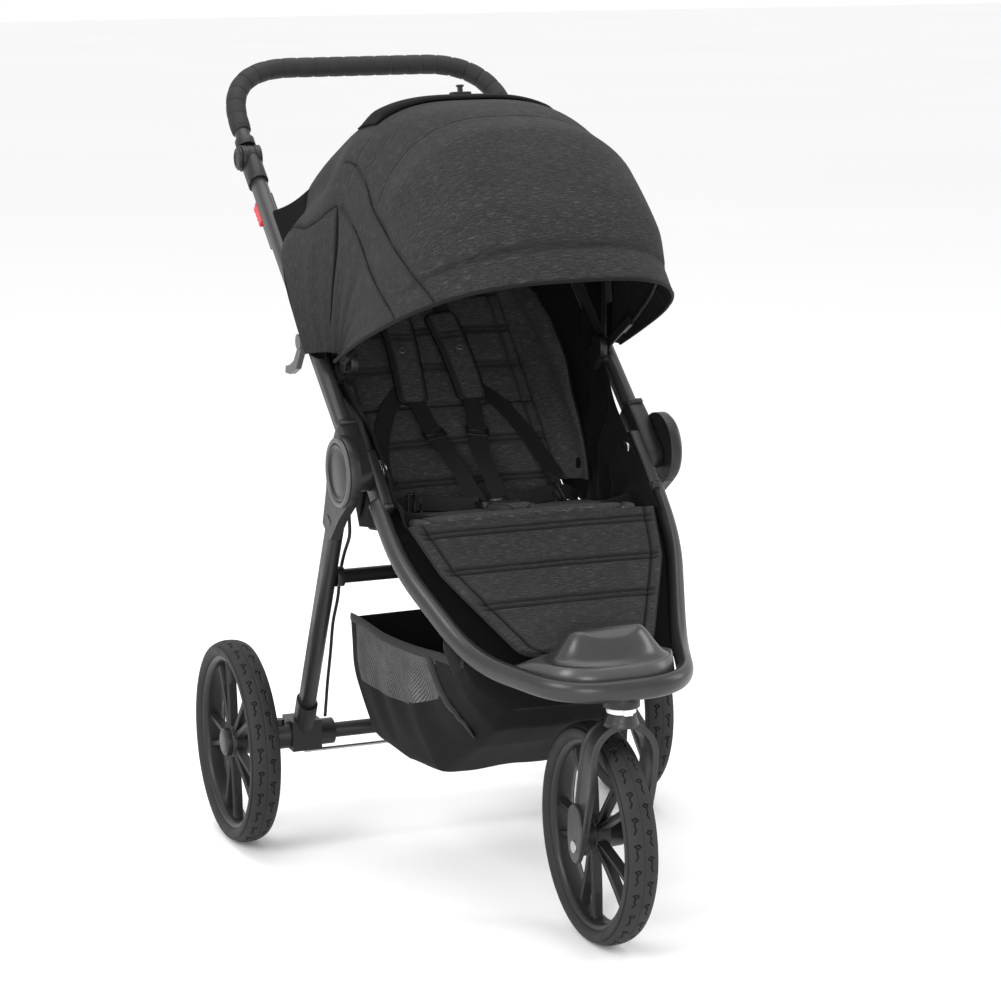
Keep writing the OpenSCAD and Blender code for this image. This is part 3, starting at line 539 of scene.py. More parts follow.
def tyre(name, centre, body, node):
    half = TYRE_W / 2
    rim = WHEEL_R - 0.022
    wall = [(-half + 0.0085, rim), (-half + 0.0040, rim + 0.0008), (-half + 0.0030, rim + 0.0030),
            (-half + 0.0012, rim + 0.0050), (-half, rim + 0.0095), (-half + 0.0006, rim + 0.0130),
            (-half + 0.0016, rim + 0.0152), (-half + 0.0020, rim + 0.0149), (-half + 0.0030, rim + 0.0168)]
    crown = [(x, WHEEL_R - 0.0046 * abs(x / (half - 0.004)) ** 2.4)
             for x in np.linspace(-half + 0.0042, half - 0.0042, 44)]
    profile = wall + crown + [(-x, r) for x, r in reversed(wall)]
    inner = [(half - 0.009, rim - 0.0002), (-half + 0.009, rim - 0.0002)]
    points = np.array(profile + inner)
    rings = 756
    angle = np.arange(rings) * 2 * math.pi / rings
    across = np.repeat(points[None, :, 0], rings, 0)
    radius = np.repeat(points[None, :, 1], rings, 0)
    along = angle[:, None] * WHEEL_R + 0 * across
    on_tread = (radius > WHEEL_R - 0.0062)
    period = 2 * math.pi * WHEEL_R / TREAD_PERIODS
    radius = radius - np.where(on_tread, tread_depth(across, along, period), 0)
    verts = np.stack([across + centre[0], radius * np.cos(angle)[:, None] + centre[1],
                      radius * np.sin(angle)[:, None] + centre[2]], -1).reshape(-1, 3)
    n = len(points)
    faces = [(k * n + i, ((k + 1) % rings) * n + i, ((k + 1) % rings) * n + (i + 1) % n, k * n + (i + 1) % n)
             for k in range(rings) for i in range(n)]
    obj = paint(new_piece(name, verts, faces), "tyre")
    # Painted shade: the tread cut depth and the sidewall groove go into the weave attribute's third value,
    # which darkens the rubber there.
    cut = np.where(on_tread, tread_depth(across, along, period), 0) / TREAD_CUT
    side_line = np.exp(-((radius - rim - 0.0149) / 0.0006) ** 2) * 0.8
    layer = obj.data.attributes.new("weave", "FLOAT_VECTOR", "POINT")
    layer.data.foreach_set("vector", np.stack([across, along, np.maximum(cut, side_line)],
                                              -1).astype(np.float32).ravel())
    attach(obj, body)
    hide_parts(node)
    return obj


SPOKE_PAIRS = 5


def spoke(name, centre, turn, lean, outer, width0=0.0085, width1=0.0075):
    """One tapered bar from the hub to the rim, with a ridge along its outer face."""
    r0, r1 = 0.017, WHEEL_R - 0.0285
    a0, a1 = turn + lean * 0.16, turn + lean * 0.185
    p0 = np.array((r0 * math.cos(a0), r0 * math.sin(a0)))
    p1 = np.array((r1 * math.cos(a1), r1 * math.sin(a1)))
    d = (p1 - p0) / np.linalg.norm(p1 - p0)
    s = np.array((-d[1], d[0]))
    verts = []
    stations = np.linspace(0, 1, 12)
    for k in stations:
        p = p0 + (p1 - p0) * k
        w = (width0 + (width1 - width0) * k) / 2 * (1 + 0.5 * max(0, (k - 0.86) / 0.14) ** 2)
        dish = 0.004 * (1 - k) ** 2
        section = [(-w, -0.006), (w, -0.006), (w, 0.0055), (w - 0.0014, 0.0075), (0.0011, 0.0062),
                   (-0.0011, 0.0062), (-w + 0.0014, 0.0075), (-w, 0.0055)]
        for b, c in section:
            q = p + s * b
            verts.append((centre[0] + outer * (c + dish), centre[1] + q[0], centre[2] + q[1]))
    m = 8
    faces = grid_faces(len(stations), m, closed_cols=True)
    faces += [tuple(range(m - 1, -1, -1)), tuple(range((len(stations) - 1) * m, len(stations) * m))]
    return new_piece(name, verts, faces)


def rim(name, centre, body, node, outer, hub_in, hub_out):
    """Spoked rim: turned ring with lips, paired spokes and a capped hub. outer is the side its cap is on."""
    bead = TYRE_W / 2 - 0.0075
    r = WHEEL_R - 0.0222
    ring_profile = [(r - 0.0020, -bead - 0.001), (r + 0.0010, -bead - 0.0012), (r + 0.0010, -bead + 0.0015),
                    (r - 0.0005, -bead + 0.003),
                    (r - 0.0005, bead - 0.003), (r + 0.0010, bead - 0.0015), (r + 0.0010, bead + 0.0012),
                    (r - 0.0020, bead + 0.001),
                    (r - 0.0045, bead - 0.0005), (r - 0.0070, bead - 0.0035), (r - 0.0078, 0.008),
                    (r - 0.0078, -0.008),
                    (r - 0.0070, -bead + 0.0035), (r - 0.0045, -bead + 0.0005)]
    parts = [turned("ring", ring_profile, centre, 160)]
    for k in range(SPOKE_PAIRS):
        turn = 2 * math.pi * k / SPOKE_PAIRS + math.radians(66)
        parts += [spoke(f"spoke{lean}", centre, turn, lean, outer) for lean in (-1, 1)]
    o = outer
    cap = [(0, hub_out + 0.0006), (0.012, hub_out + 0.0003), (0.0165, hub_out - 0.0006),
           (0.0172, hub_out - 0.0016),
           (0.0182, hub_out - 0.0016), (0.0198, hub_out - 0.0026), (0.0205, hub_out - 0.006), (0.0205, 0.012),
           (0.0235, 0.008), (0.0235, -0.008), (0.0205, -0.012), (0.0195, -hub_in), (0, -hub_in)]
    hub = lathe("hub", [(rr, o * x) for rr, x in cap], centre, 64)
    if o < 0:
        hub.data.flip_normals()
    parts.append(hub)
    obj = join(name, *parts)
    recalc(obj)
    obj.data.shade_smooth()
    paint(obj, "rim")
    add_bevel(obj, 0.0006, 2, 35)
    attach(obj, body)
    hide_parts(node)
    return obj


def recalc(obj):
    bm = bmesh.new()
    bm.from_mesh(obj.data)
    bmesh.ops.recalc_face_normals(bm, faces=bm.faces)
    bm.to_mesh(obj.data)
    bm.free()
    return obj


WHEELS = {
    "front": ("front_wheel", np.array((0, *FRONT_AXLE)), "front_tyre", "front_rim", -1, 0.031, 0.031),
    "rear_left": ("rear_wheel_left", np.array((-WHEEL_X, *REAR_AXLE)), "rear_tyre_left", "rear_rim_left",
                  -1, 0.0335, TYRE_W / 2),
    "rear_right": ("rear_wheel_right", np.array((WHEEL_X, *REAR_AXLE)), "rear_tyre_right", "rear_rim_right",
                   1, 0.0335, TYRE_W / 2),
}
for wheel, (body, centre, tyre_node, rim_node, outer, hub_in, hub_out) in WHEELS.items():
    tyre(f"{wheel}_tyre_tread", centre, body, tyre_node)
    rim(f"{wheel}_spoked_rim", centre, body, rim_node, outer, hub_in, hub_out)


# ---------------------------------------------------------------- front loop, foot plate and fork
def loop_line():
    """Middle line of the front loop, right hub to left hub."""
    bend, start = 0.160, 0.056
    side = np.array((LOOP_X - 0.006, -bend * math.cos(LOOP_ANGLE), -bend * math.sin(LOOP_ANGLE)))
    top = np.array((LOOP_X, 0, 0))
    first = top + (side - top) / np.linalg.norm(side - top) * start
    half = [first, side, np.array((0.146, SWIVEL + 0.140, LOOP_Z + 0.012)), np.array((0.082, BAR_Y, LOOP_Z))]
    other = [p * (-1, 1, 1) for p in reversed(half)]
    path = rounded_path(half + other, [0, .050, .062, .066, .066, .062, .050, 0], 14)
    return [at(*p) for p in path]


LOOP = resample(smooth_path(resample(loop_line(), 0.012), 4), 0.004)
loop = paint(sweep("front_loop_tube", LOOP, ellipse(TUBE_W, TUBE_D, 40), up=(0, -0.25, 1)), "frame")
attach(loop, "front_frame")
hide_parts("front_loop")

PLATE_REAR = SWIVEL + 0.108


def smoothstep(a, b, x):
    k = np.clip((x - a) / (b - a), 0, 1)
    return k * k * (3 - 2 * k)


def plate_outline():
    """Edge of the foot plate, just inside the loop."""
    pts = [p for p in LOOP if p[1] < HUB[0] + PLATE_REAR]
    out = []
    for i, p in enumerate(pts):
        d = pts[min(i + 1, len(pts) - 1)] - pts[max(i - 1, 0)]
        n = np.array((d[1], -d[0], 0)) / math.hypot(d[0], d[1])
        out.append(p + n * (TUBE_W / 2 + 0.0012))
    rear = [np.array((x, out[-1][1], 0)) for x in np.linspace(out[-1][0], out[0][0], 40)[1:-1]]
    return [p[:2] for p in out + rear]


def plate_height(x, y):
    """Top of the foot plate at a point: a low dish that sweeps up to a rounded hood."""
    base = HUB[1] + LOOP_Z + 0.006
    u = abs(x) / 0.079
    v = (y - HUB[0] - SWIVEL - 0.047) / 0.047
    d = (u ** 2.4 + abs(v) ** 2.4) ** (1 / 2.4)
    skirt = 0.024 * (1 - smoothstep(0.85, 2.0, d)) ** 0.9
    front = smoothstep(-1.02, -0.1, v)
    lift = 0.037 * (1 - smoothstep(0.52, 1.04, d)) * (0.42 + 0.58 * front)
    edge = 0.0012 * math.exp(-((d - 1.05) / 0.025) ** 2)
    return base + skirt + lift - edge, d


def foot_plate():
    outline = plate_outline()
    centre = np.array((0.0, HUB[0] + SWIVEL + 0.047))
    low = HUB[1] + LOOP_Z - 0.011
    rings, n = 42, len(outline)
    verts, hood = [], []
    for k in range(rings + 1):
        f = k / rings
        for p in outline:
            q = centre + (p - centre) * (1 - f)
            z, d = plate_height(*q)
            if k == 0:
                z = low + 0.006
            elif k == 1:
                z = (z + low + 0.006) * 0.5 + 0.002
            verts.append((q[0], q[1], z))
            hood.append(d < 1.05)
    faces = grid_faces(rings + 1, n, closed_cols=True)
    under = len(verts)
    verts += [(*(centre + (p - centre) * 0.985), low) for p in outline]
    faces += [(i, under + i, under + (i + 1) % n, (i + 1) % n) for i in range(n)]
    faces.append(tuple(range(under + n - 1, under - 1, -1)))
    obj = new_piece("foot_plate", verts, faces)
    bm = bmesh.new()
    bm.from_mesh(obj.data)
    bmesh.ops.remove_doubles(bm, verts=bm.verts, dist=0.0002)
    bmesh.ops.recalc_face_normals(bm, faces=bm.faces)
    bm.to_mesh(obj.data)
    bm.free()
    obj.data.shade_smooth()
    paint(obj, "plate")
    obj.data.materials.append(MAT["hood"])
    for f in obj.data.polygons:
        z, d = plate_height(f.center.x, f.center.y)
        if d < 1.05 and f.center.z > low + 0.01:
            f.material_index = 1
    return obj


plate = foot_plate()
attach(plate, "front_frame")
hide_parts("footplate")


FORK_X, ARM_T = 0.038, 0.009
CROWN_Z = 2 * WHEEL_R - 0.024 - HUB[1]
ROCKER_Z = BOLT[1] - HUB[1]
BOLT_Y = BOLT[0] - HUB[0]


def fork():
    """Arch over the wheel: one band with raised flanges down both arms."""
    path = []
    for z in np.linspace(ROCKER_Z - 0.004, CROWN_Z, 26)[:-1]:
        path.append((FORK_X, z, 1, 0))
    for a in np.linspace(0, 180, 37):
        c, s = math.cos(math.radians(a)), math.sin(math.radians(a))
        path.append((FORK_X * c, CROWN_Z + FORK_X * s, c, s))
    for z in np.linspace(CROWN_Z, ROCKER_Z - 0.004, 26)[1:]:
        path.append((-FORK_X, z, -1, 0))
    front_z = [ROCKER_Z - 0.016, ROCKER_Z + 0.018, CROWN_Z - 0.040, CROWN_Z, 0]
    front_y = [0.026, 0.015, -0.008, -0.014, -0.015]
    back_y = [0.049, 0.049, 0.034, 0.024, 0.023]
    f, h = 0.0042, ARM_T
    section = [(0, 0), (1, 0), (1, h * 0.7), (1, h), (None, -f, h), (None, -f - 0.0016, h - 0.0030),
               (None, f + 0.0016, h - 0.0030), (None, f, h), (0, h), (0, h * 0.7)]
    rings = []
    for x, z, nx, nz in path:
        y0, y1 = np.interp(z, front_z, front_y), np.interp(z, front_z, back_y)
        for item in section:
            if item[0] is None:
                y = y1 + item[1] if item[1] < 0 else y0 + item[1]
                off = item[2]
            else:
                y = y0 + (y1 - y0) * item[0]
                off = item[1]
            rings.append(at(x + nx * off, SWIVEL + y, z + nz * off))
    m = len(section)
    faces = grid_faces(len(path), m, closed_cols=True)
    faces += [tuple(range(m - 1, -1, -1)), tuple(range((len(path) - 1) * m, len(path) * m))]
    band = new_piece("fork_band", rings, faces)
    top = CROWN_Z + FORK_X + ARM_T
    collar_z = JOINTS["swivel_lock_turn"]["pos_m"][2] - HUB[1]
    stem = lathe("fork_stem", [(0, -0.006), (0.0235, -0.006), (0.0215, 0.000), (0.0200, 0.004),
                               (0.0190, collar_z - top - 0.0005),
                               (0, collar_z - top - 0.0005)], at(0, SWIVEL, top), 48, axis="Z")
    parts = [band, stem]
    for s in (-1, 1):
        place = side_place(FORK_X + 0.004, at(0, BOLT_Y, ROCKER_Z)[1:], 0, s)
        outline = [(-0.024, 0.024), (-0.012, 0.052), (0.004, 0.058), (0.020, 0.046), (0.022, 0.010),
                   (0.018, -0.010),
                   (0.006, -0.021), (-0.006, -0.022), (-0.016, -0.010)]
        parts.append(extruded("lug", [tuple(p[:2]) for p in rounded_outline(outline, 0.006)],
                              ARM_T - 0.0015, place, 0.0012))
    obj = join("fork_arch", *parts)
    recalc(obj)
    obj.data.shade_smooth()
    paint(obj, "fork")
    add_bevel(obj, 0.0007, 2, 35)
    return obj


def rounded_outline(points, r, n=4):
    """Closed outline with its corners rounded."""
    out = []
    m = len(points)
    for i in range(m):
        a, b, c = (np.array(points[(i + k) % m], float) for k in (-1, 0, 1))
        la, lc = np.linalg.norm(a - b), np.linalg.norm(c - b)
        p = b + (a - b) / la * min(r, la * 0.45)
        q = b + (c - b) / lc * min(r, lc * 0.45)
        out += [(1 - k) ** 2 * p + 2 * k * (1 - k) * b + k * k * q for k in np.linspace(0, 1, n + 1)]
    return out


fork_obj = fork()
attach(fork_obj, "caster")
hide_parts("fork")


# ---------------------------------------------------------------- handlebar
HANDLE_ANGLE = math.radians(44)
HANDLE_UP = (0, -math.sin(HANDLE_ANGLE), math.cos(HANDLE_ANGLE))
HANDLE_LEN, HANDLE_CORNER = 0.175, 0.107
HANDLE_D, GRIP_D = 0.022, 0.029


def handle_line(start):
    e = np.array((0, math.cos(HANDLE_ANGLE), math.sin(HANDLE_ANGLE)))
    pivot = np.array((0, *HANDLE_PIVOT))
    right = np.array((TUBE_X, 0, 0))
    ends = [pivot + right + e * start, pivot + right + e * HANDLE_LEN,
            pivot - right + e * HANDLE_LEN, pivot - right + e * start]
    return rounded_path(ends, [0, HANDLE_CORNER, HANDLE_CORNER, 0], 24)


def handle_tube():
    path = resample(handle_line(0.027), 0.006)
    obj = paint(sweep("handlebar_tube", path, ellipse(HANDLE_D, HANDLE_D, 28), up=HANDLE_UP), "frame")
    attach(obj, "handlebar")
    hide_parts("handle_tube")


def handle_grip():
    """Soft cover of overlapping segments, each a little fuller than its joint."""
    path = resample(handle_line(0.050), 0.0012)
    pitch, n = 0.0245, len(path)
    total = 0.0012 * (n - 1)

    def size(k):
        s = k * total % pitch
        edge = min(s, pitch - s)
        end = min(k, 1 - k) * total
        groove = 0.0016 * math.exp(-(edge / 0.0009) ** 2)
        swell = 0.0004 * math.sin(math.pi * s / pitch)
        tuck = 0.0022 * max(0, 1 - end / 0.004) ** 2
        return 1 - (groove + tuck - swell) / (GRIP_D / 2)

    section = [(GRIP_D / 2 * math.cos(t), GRIP_D / 2 * math.sin(t)) for t in np.arange(36) * math.pi / 18]
    obj = paint(sweep("handlebar_grip", path, section, up=HANDLE_UP, scale=size), "grip")
    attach(obj, "handlebar")
    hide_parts("handle_grip")


handle_tube()
handle_grip()


def cap_disc(name, x, centre, r, key, body, side, height=0.003, ring=0.75):
    """Turned cap with a rim and a shallow dish, facing outwards at x."""
    h = height
    profile = [(0, h * 0.55), (r * (ring - 0.12), h * 0.55), (r * (ring - 0.06), h * 0.35),
               (r * ring, h * 0.35),
               (r * (ring + 0.05), h * 0.8), (r * 0.90, h), (r * 0.97, h * 0.75), (r, 0), (r, -0.002),
               (0, -0.002)]
    obj = lathe(name, [(a, side * b) for a, b in profile], (side * x, *centre), 64)
    recalc(obj)
    obj.data.shade_smooth()
    paint(obj, key)
    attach(obj, body)
    return obj


HUB_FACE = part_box("hub_discs")[1].x - 0.004
for s, side in ((-1, "left"), (1, "right")):
    hub_r = 0.047
    ring = lathe(f"hub_ring_{side}", [(a, s * b) for a, b in (
        (0.040, 0.0012), (0.0405, 0.0036), (0.0420, 0.0042), (0.0455, 0.0042), (0.0468, 0.0030),
        (hub_r, 0.0005),
        (hub_r, 0.0), (0.040, 0.0))] + [(0.040, s * 0.0012)], (s * HUB_FACE, *HUB), 96)
    recalc(ring)
    ring.data.shade_smooth()
    paint(ring, "lever")
    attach(ring, "rear_frame")
    disc = cap_disc(f"hub_disc_{side}", HUB_FACE, HUB, 0.0402, "disc", "rear_frame", s, 0.0034, 0.82)
    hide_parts("hub_discs")
    joint_face = TUBE_X + TUBE_W / 2 + 0.007
    knob = cap_disc(f"handle_joint_cap_{side}", joint_face, HANDLE_PIVOT, 0.0155, "casting",
                    "handlebar", s, 0.0022, 0.6)


# ---------------------------------------------------------------- canopy
REAR_TILT, BRIM_TILT = 42, 158
MIDDLE_BOW, FRONT_BOW = 0.42, 0.93
CANOPY_R = 0.354
CANOPY_X = 0.207


def bend3(a, b, c, k):
    return (1 - k) ** 2 * a + 2 * k * (1 - k) * b + k * k * c


def canopy_point(a, t, lift=0.0):
    """Point of the canopy: a is 0 at the rear arch and 1 at the brim, t is degrees round the arch."""
    a, t = np.asarray(a, float), np.radians(np.asarray(t, float))
    tilt = np.radians(REAR_TILT + (BRIM_TILT - REAR_TILT) * a)
    n = 2 / bend3(3.5, 3.1, 2.85, a)
    reach = CANOPY_R + bend3(0.007, -0.021, 0.021, a) + np.maximum(a - FRONT_BOW, 0) * 0.14
    half = CANOPY_X + bend3(0.038, -0.024, 0.006, a)
    x = (half + lift) * np.sign(np.cos(t)) * np.abs(np.cos(t)) ** n
    u = (reach + lift) * np.abs(np.sin(t)) ** n
    return np.stack([x, CANOPY_PIVOT[0] + u * np.cos(tilt), CANOPY_PIVOT[1] + u * np.sin(tilt)], -1)


DOME_EDGE = ([90, 112, 126, 137, 145, 150], [0.563, 0.580, 0.585, 0.600, 0.625, 0.70])
SIDE_SEAM = [(0.35, 138.2), (0.39, 138.4), (0.423, 139.2), (0.497, 142.5), (0.62, 147.8), (0.777, 147.0),
             (0.897, 141.8), (1.0, 135)]
FRONT_SEAM = [(0.403, 153.2), (0.513, 156.2), (0.697, 159.8), (0.853, 158.0), (1.0, 152.5)]
REAR_SEAM = [(0.0, 147.5), (0.137, 156.0), (0.257, 156.5), (0.375, 153.0)]
PLEAT = [(0.385, 153.5), (0.398, 158.5), (0.404, 163), (0.403, 167), (0.394, 171), (0.375, 174.5),
         (0.35, 177)]


def seam_distance(a, t, seam):
    """Rough distance in metres from a seam given in (a, t)."""
    pts = np.array(seam, float) * (0.72, 0.0062)
    qa, qt = a * 0.72, t * 0.0062
    best = np.full(np.broadcast(a, t).shape, 9.0)
    for p, q in zip(pts, pts[1:]):
        v = q - p
        k = np.clip(((qa - p[0]) * v[0] + (qt - p[1]) * v[1]) / (v @ v), 0, 1)
        best = np.minimum(best, np.hypot(qa - p[0] - k * v[0], qt - p[1] - k * v[1]))
    return best


def canopy_lift(a, t):
    """How far the cloth stands off the plain arch: puffed dome, sewn seams, slack between the bows."""
    a, t = np.broadcast_arrays(np.asarray(a, float), np.asarray(t, float))
    side = np.where(t < 90, 180 - t, t)
    edge = np.interp(side, *DOME_EDGE)
    puff = smoothstep(0, 0.10, a - edge) * smoothstep(150, 128, side) * smoothstep(0.955, 0.86, a)
    step = smoothstep(0, 0.012, a - edge) * smoothstep(149, 143, side) * smoothstep(0.945, 0.93, a)
    lift = 0.0090 * puff + 0.0018 * step
    slack = np.sin(np.pi * np.clip(a / MIDDLE_BOW, 0, 1)) ** 2 * np.sin(np.radians(t)) ** 4
    lift = lift - 0.005 * slack
    lift = lift - 0.024 * smoothstep(0.34, 0.12, a) * np.exp(-((side - 136) / 15) ** 2)
    fold = np.exp(-((a - FRONT_BOW - 0.004) / 0.008) ** 2) * np.sin(np.radians(t)) ** 2
    lift = lift - 0.0030 * fold
    for seam in (SIDE_SEAM, FRONT_SEAM, REAR_SEAM):
        lift = lift - 0.0016 * np.exp(-(seam_distance(a, side, seam) / 0.004) ** 2)
    low = smoothstep(158, 172, side)
    ripple = np.sin(a * 46 + 1.5 * np.sin(t * 0.11)) * 0.0014 * low + np.sin(a * 23 + t * 0.13) * 0.0006
    return lift + ripple


def canopy_sheet(name, a0, a1, rows, cols=191):
    spread = np.linspace(-1, 1, cols)
    t = 90 - 89.65 * np.sign(spread) * (1 - (1 - np.abs(spread)) ** 1.5)
    a = np.linspace(a0, a1, rows)
    A, T = np.meshgrid(a, t, indexing="ij")
    lift = canopy_lift(A, T)
    outer = canopy_point(A, T, lift)
    inner = canopy_point(A, T, lift - 0.0022)
    n = rows * cols
    verts = np.concatenate([outer.reshape(-1, 3), inner.reshape(-1, 3)])
    faces = [f[::-1] for f in grid_faces(rows, cols)]
    shown = len(faces)
    faces += grid_faces(rows, cols, start=n)
    rim_loop = ([c for c in range(cols)] + [r * cols + cols - 1 for r in range(1, rows)]
                + [(rows - 1) * cols + c for c in range(cols - 2, -1,
                                                        -1)] + [r * cols for r in range(rows - 2, 0, -1)])
    faces += [(p, q, q + n, p + n) for p, q in zip(rim_loop, rim_loop[1:] + rim_loop[:1])]
    obj = new_piece(name, verts, faces)
    obj.data.materials.append(MAT["cloth"])
    obj.data.materials.append(MAT["lining"])
    for f in obj.data.polygons:
        f.material_index = 0 if f.index < shown else 1
    recalc(obj)
    obj.data.shade_smooth()
    arc = np.cumsum(np.linalg.norm(np.diff(outer, axis=1, prepend=outer[:, :1]), axis=2), axis=1)
    arc -= arc[:, cols // 2:cols // 2 + 1]
    side = np.where(T < 90, 180 - T, T)
    # Painted shade: groove marks the seams and the fold at the front bow, and the cloth is darkened there.
    groove = np.zeros_like(A)
    for line in (SIDE_SEAM, FRONT_SEAM, REAR_SEAM):
        groove = np.maximum(groove, 0.5 * np.exp(-(seam_distance(A, side, line) / 0.005) ** 2))
    groove = np.maximum(groove, 0.45 * np.exp(-((A - FRONT_BOW - 0.003) / 0.006) ** 2)
                        * np.sin(np.radians(T)) ** 2)
    weave = np.stack([arc, A * 0.55, groove], -1).reshape(-1, 3)
    layer = obj.data.attributes.new("weave", "FLOAT_VECTOR", "POINT")
    layer.data.foreach_set("vector", np.concatenate([weave, weave]).astype(np.float32).ravel())
    width = float(np.ptp(arc, axis=1).max())
    area = sum(f.area for f in obj.data.polygons[:shown])
    return obj, width, area


def on_canopy(line, lift=0.0, mirror=False, steps=10):
    """Smooth path through (a, t) points, on the cloth."""
    path = np.array(smooth_path([np.array((a, t, 0)) for a, t in line], steps))
    a, t = path[:, 0], path[:, 1]
    pts = canopy_point(a, t, canopy_lift(a, t) + lift)
    return [p * (-1, 1, 1) if mirror else p for p in pts]


def outward(pts):
    """Directions away from the canopy's pivot line, for flat strips on it."""
    return lambda i: np.array((pts[i][0] * 0.6, pts[i][1] - CANOPY_PIVOT[0], pts[i][2] - CANOPY_PIVOT[1]))


def thread(line, r=0.0009, lift=0.0002, key="lining"):
    parts = []
    for m in (False, True):
        pts = on_canopy(line, lift, m)
        parts.append(paint(sweep("thread", pts, ellipse(2 * r, 2 * r, 8), up=outward(pts)), key))
    return parts


def pleat():
    """Painted shade: a black strip laid on the cloth for the dark opening between the side panels, widest
    half way down.
    """
    parts = []
    for m in (False, True):
        pts = on_canopy(PLEAT, 0.0006, m, 12)
        section = [(-0.0075, 0.0), (0, 0.0006), (0.0075, 0.0), (0, -0.001)]
        parts.append(paint(sweep("pleat", pts, section, up=outward(pts),
                                 scale=lambda k: 0.12 + math.sin(math.pi * min(k * 1.02, 1)) ** 0.8),
                                 "lining"))
    return parts


def fan_blend(obj):
    """Bakes the object's transform into its mesh."""
    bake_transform(obj)


rear_sheet, rear_w, rear_area = canopy_sheet("canopy_rear_cloth", 0.0, MIDDLE_BOW, 56)
front_sheet, front_w, front_area = canopy_sheet("canopy_front_cloth", MIDDLE_BOW, 1.0, 84)
# the rear seams also carry the black strip of painted shade for the pleat's opening
rear_trim = join("canopy_rear_seams", *thread(REAR_SEAM), *thread([(0.35, 138.2), (0.38, 138.3),
                                                                   (MIDDLE_BOW, 139.0)]), *pleat())
edge = 90 - 89.6 * np.sin(np.radians(np.linspace(-90, 90, 110)))
brim = [canopy_point(1.0, t, canopy_lift(1.0, t) - 0.0011) for t in edge]
dome = [(np.interp(abs(t - 90) + 90, *DOME_EDGE), t) for t in np.linspace(36, 144, 28)]
front_parts = thread(SIDE_SEAM[3:]) + thread(FRONT_SEAM[1:])
front_parts.append(paint(sweep("dome_seam", on_canopy(dome, 0.0, False, 4), ellipse(0.0013, 0.0013, 8),
                               up=(0, 0.3, 1)), "piping"))
front_parts.append(paint(sweep("brim", brim, ellipse(0.0052, 0.0046, 12), up=outward(brim)), "piping"))
front_trim = join("canopy_front_seams", *front_parts)
fan_blend(rear_sheet)
fan_blend(rear_trim)
fan_blend(front_sheet)
fan_blend(front_trim)
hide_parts("canopy_rear")
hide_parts("canopy_middle", "canopy_front")


# ---------------------------------------------------------------- padded seat
SEAT_DIR = (CREASE - SEAT_FRONT) / np.linalg.norm(CREASE - SEAT_FRONT)
SEAT_L = float(np.linalg.norm(CREASE - SEAT_FRONT))
SEAT_SLOPE = math.atan2(SEAT_DIR[1], SEAT_DIR[0])
BACK_SLOPE = math.radians(45)
CALF_SLOPE = math.radians(217)
SEAT_W = 0.336
BACK_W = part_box("backrest")[1].x * 2
BACK_L = 0.505
PAD_T = 0.018


def plane(origin, slope, side=1):
    """place(along, across, height) for a panel that starts at origin and rises at slope."""
    ca, sa = math.cos(slope), math.sin(slope)
    return lambda s, x, h: np.array((x, origin[0] + ca * s - side * sa * h,
                                     origin[1] + sa * s + side * ca * h))


on_seat = plane(SEAT_FRONT, SEAT_SLOPE)
on_back = plane(CREASE, BACK_SLOPE)
on_calf = plane(SEAT_FRONT, CALF_SLOPE, -1)


def quilted(name, place, length, half, thick, channels=(), crown=0.004, roll=0.012, seams=(), key="pad",
            step=0.0042,
            crease=0.0042, seed=0.0):
    """Stuffed panel: crowned top, edges pulled in, paired stitch lines across and single ones along."""
    rows = int(length / step) + 1
    cols = int(2 * max(half(s) for s in np.linspace(0, length, 20)) / step) | 1
    s = np.linspace(0, length, rows)
    v = np.linspace(-1, 1, cols)
    S, V = np.meshgrid(s, v, indexing="ij")
    H = np.array([half(x) for x in s])[:, None] + 0 * V
    X = V * H
    edge = np.minimum(np.minimum(S, length - S), (1 - np.abs(V)) * H)
    k = 1 - np.clip(edge / roll, 0, 1)
    round_off = np.sqrt(np.clip(1 - k ** 2.2, 0, 1))
    top = thick / 2 + crown * (1 - np.abs(V) ** 3)
    # Painted shade: groove marks the stitch lines, and the weave attribute darkens the cloth there.
    groove = np.zeros_like(S)
    for c in channels:
        for line in (c - 0.0042, c + 0.0042):
            sewn = np.exp(-((S - line) / 0.0021) ** 2) * smoothstep(0, 0.012, edge)
            top = top - crease * sewn
            groove = np.maximum(groove, sewn)
    bounds = [0.0, *channels, length]
    for lo, hi in zip(bounds, bounds[1:]):
        inside = (S >= lo) & (S <= hi)
        share = np.clip((S - lo) / max(hi - lo, 1e-6), 0, 1)
        top = top + np.where(inside, crown * 0.55 * np.abs(np.sin(np.pi * share)) ** 0.7, 0)
    for off in seams:
        sewn = np.exp(-(((1 - np.abs(V)) * H - off) / 0.0021) ** 2)
        top = top - crease * 0.8 * sewn
        groove = np.maximum(groove, sewn)
    wrinkle = np.array([[noise.noise((a * 28 + seed, b * 34, seed)) + 0.5 * noise.noise((a * 80,
                                                                                         b * 50 + seed, seed))
                         for a, b in zip(ra, rb)] for ra, rb in zip(S, X)])
    top = (top + wrinkle * 0.0009) * round_off
    bottom = -thick / 2 * round_off
    upper = [place(a, x, h) for a, x, h in zip(S.ravel(), X.ravel(), top.ravel())]
    lower = [place(a, x, h) for a, x, h in zip(S.ravel(), X.ravel(), bottom.ravel())]
    n = rows * cols
    obj = new_piece(name, upper + lower, grid_faces(rows, cols) + [f[::-1] for f in grid_faces(rows, cols,
                                                                                               start=n)])
    layer = obj.data.attributes.new("weave", "FLOAT_VECTOR", "POINT")
    flat = np.stack([X, S, groove], -1).reshape(-1, 3)
    layer.data.foreach_set("vector", np.concatenate([flat, flat]).astype(np.float32).ravel())
    bm = bmesh.new()
    bm.from_mesh(obj.data)
    bmesh.ops.remove_doubles(bm, verts=bm.verts, dist=0.00012)
    bmesh.ops.recalc_face_normals(bm, faces=bm.faces)
    bm.to_mesh(obj.data)
    bm.free()
    obj.data.shade_smooth()
    return paint(obj, key)


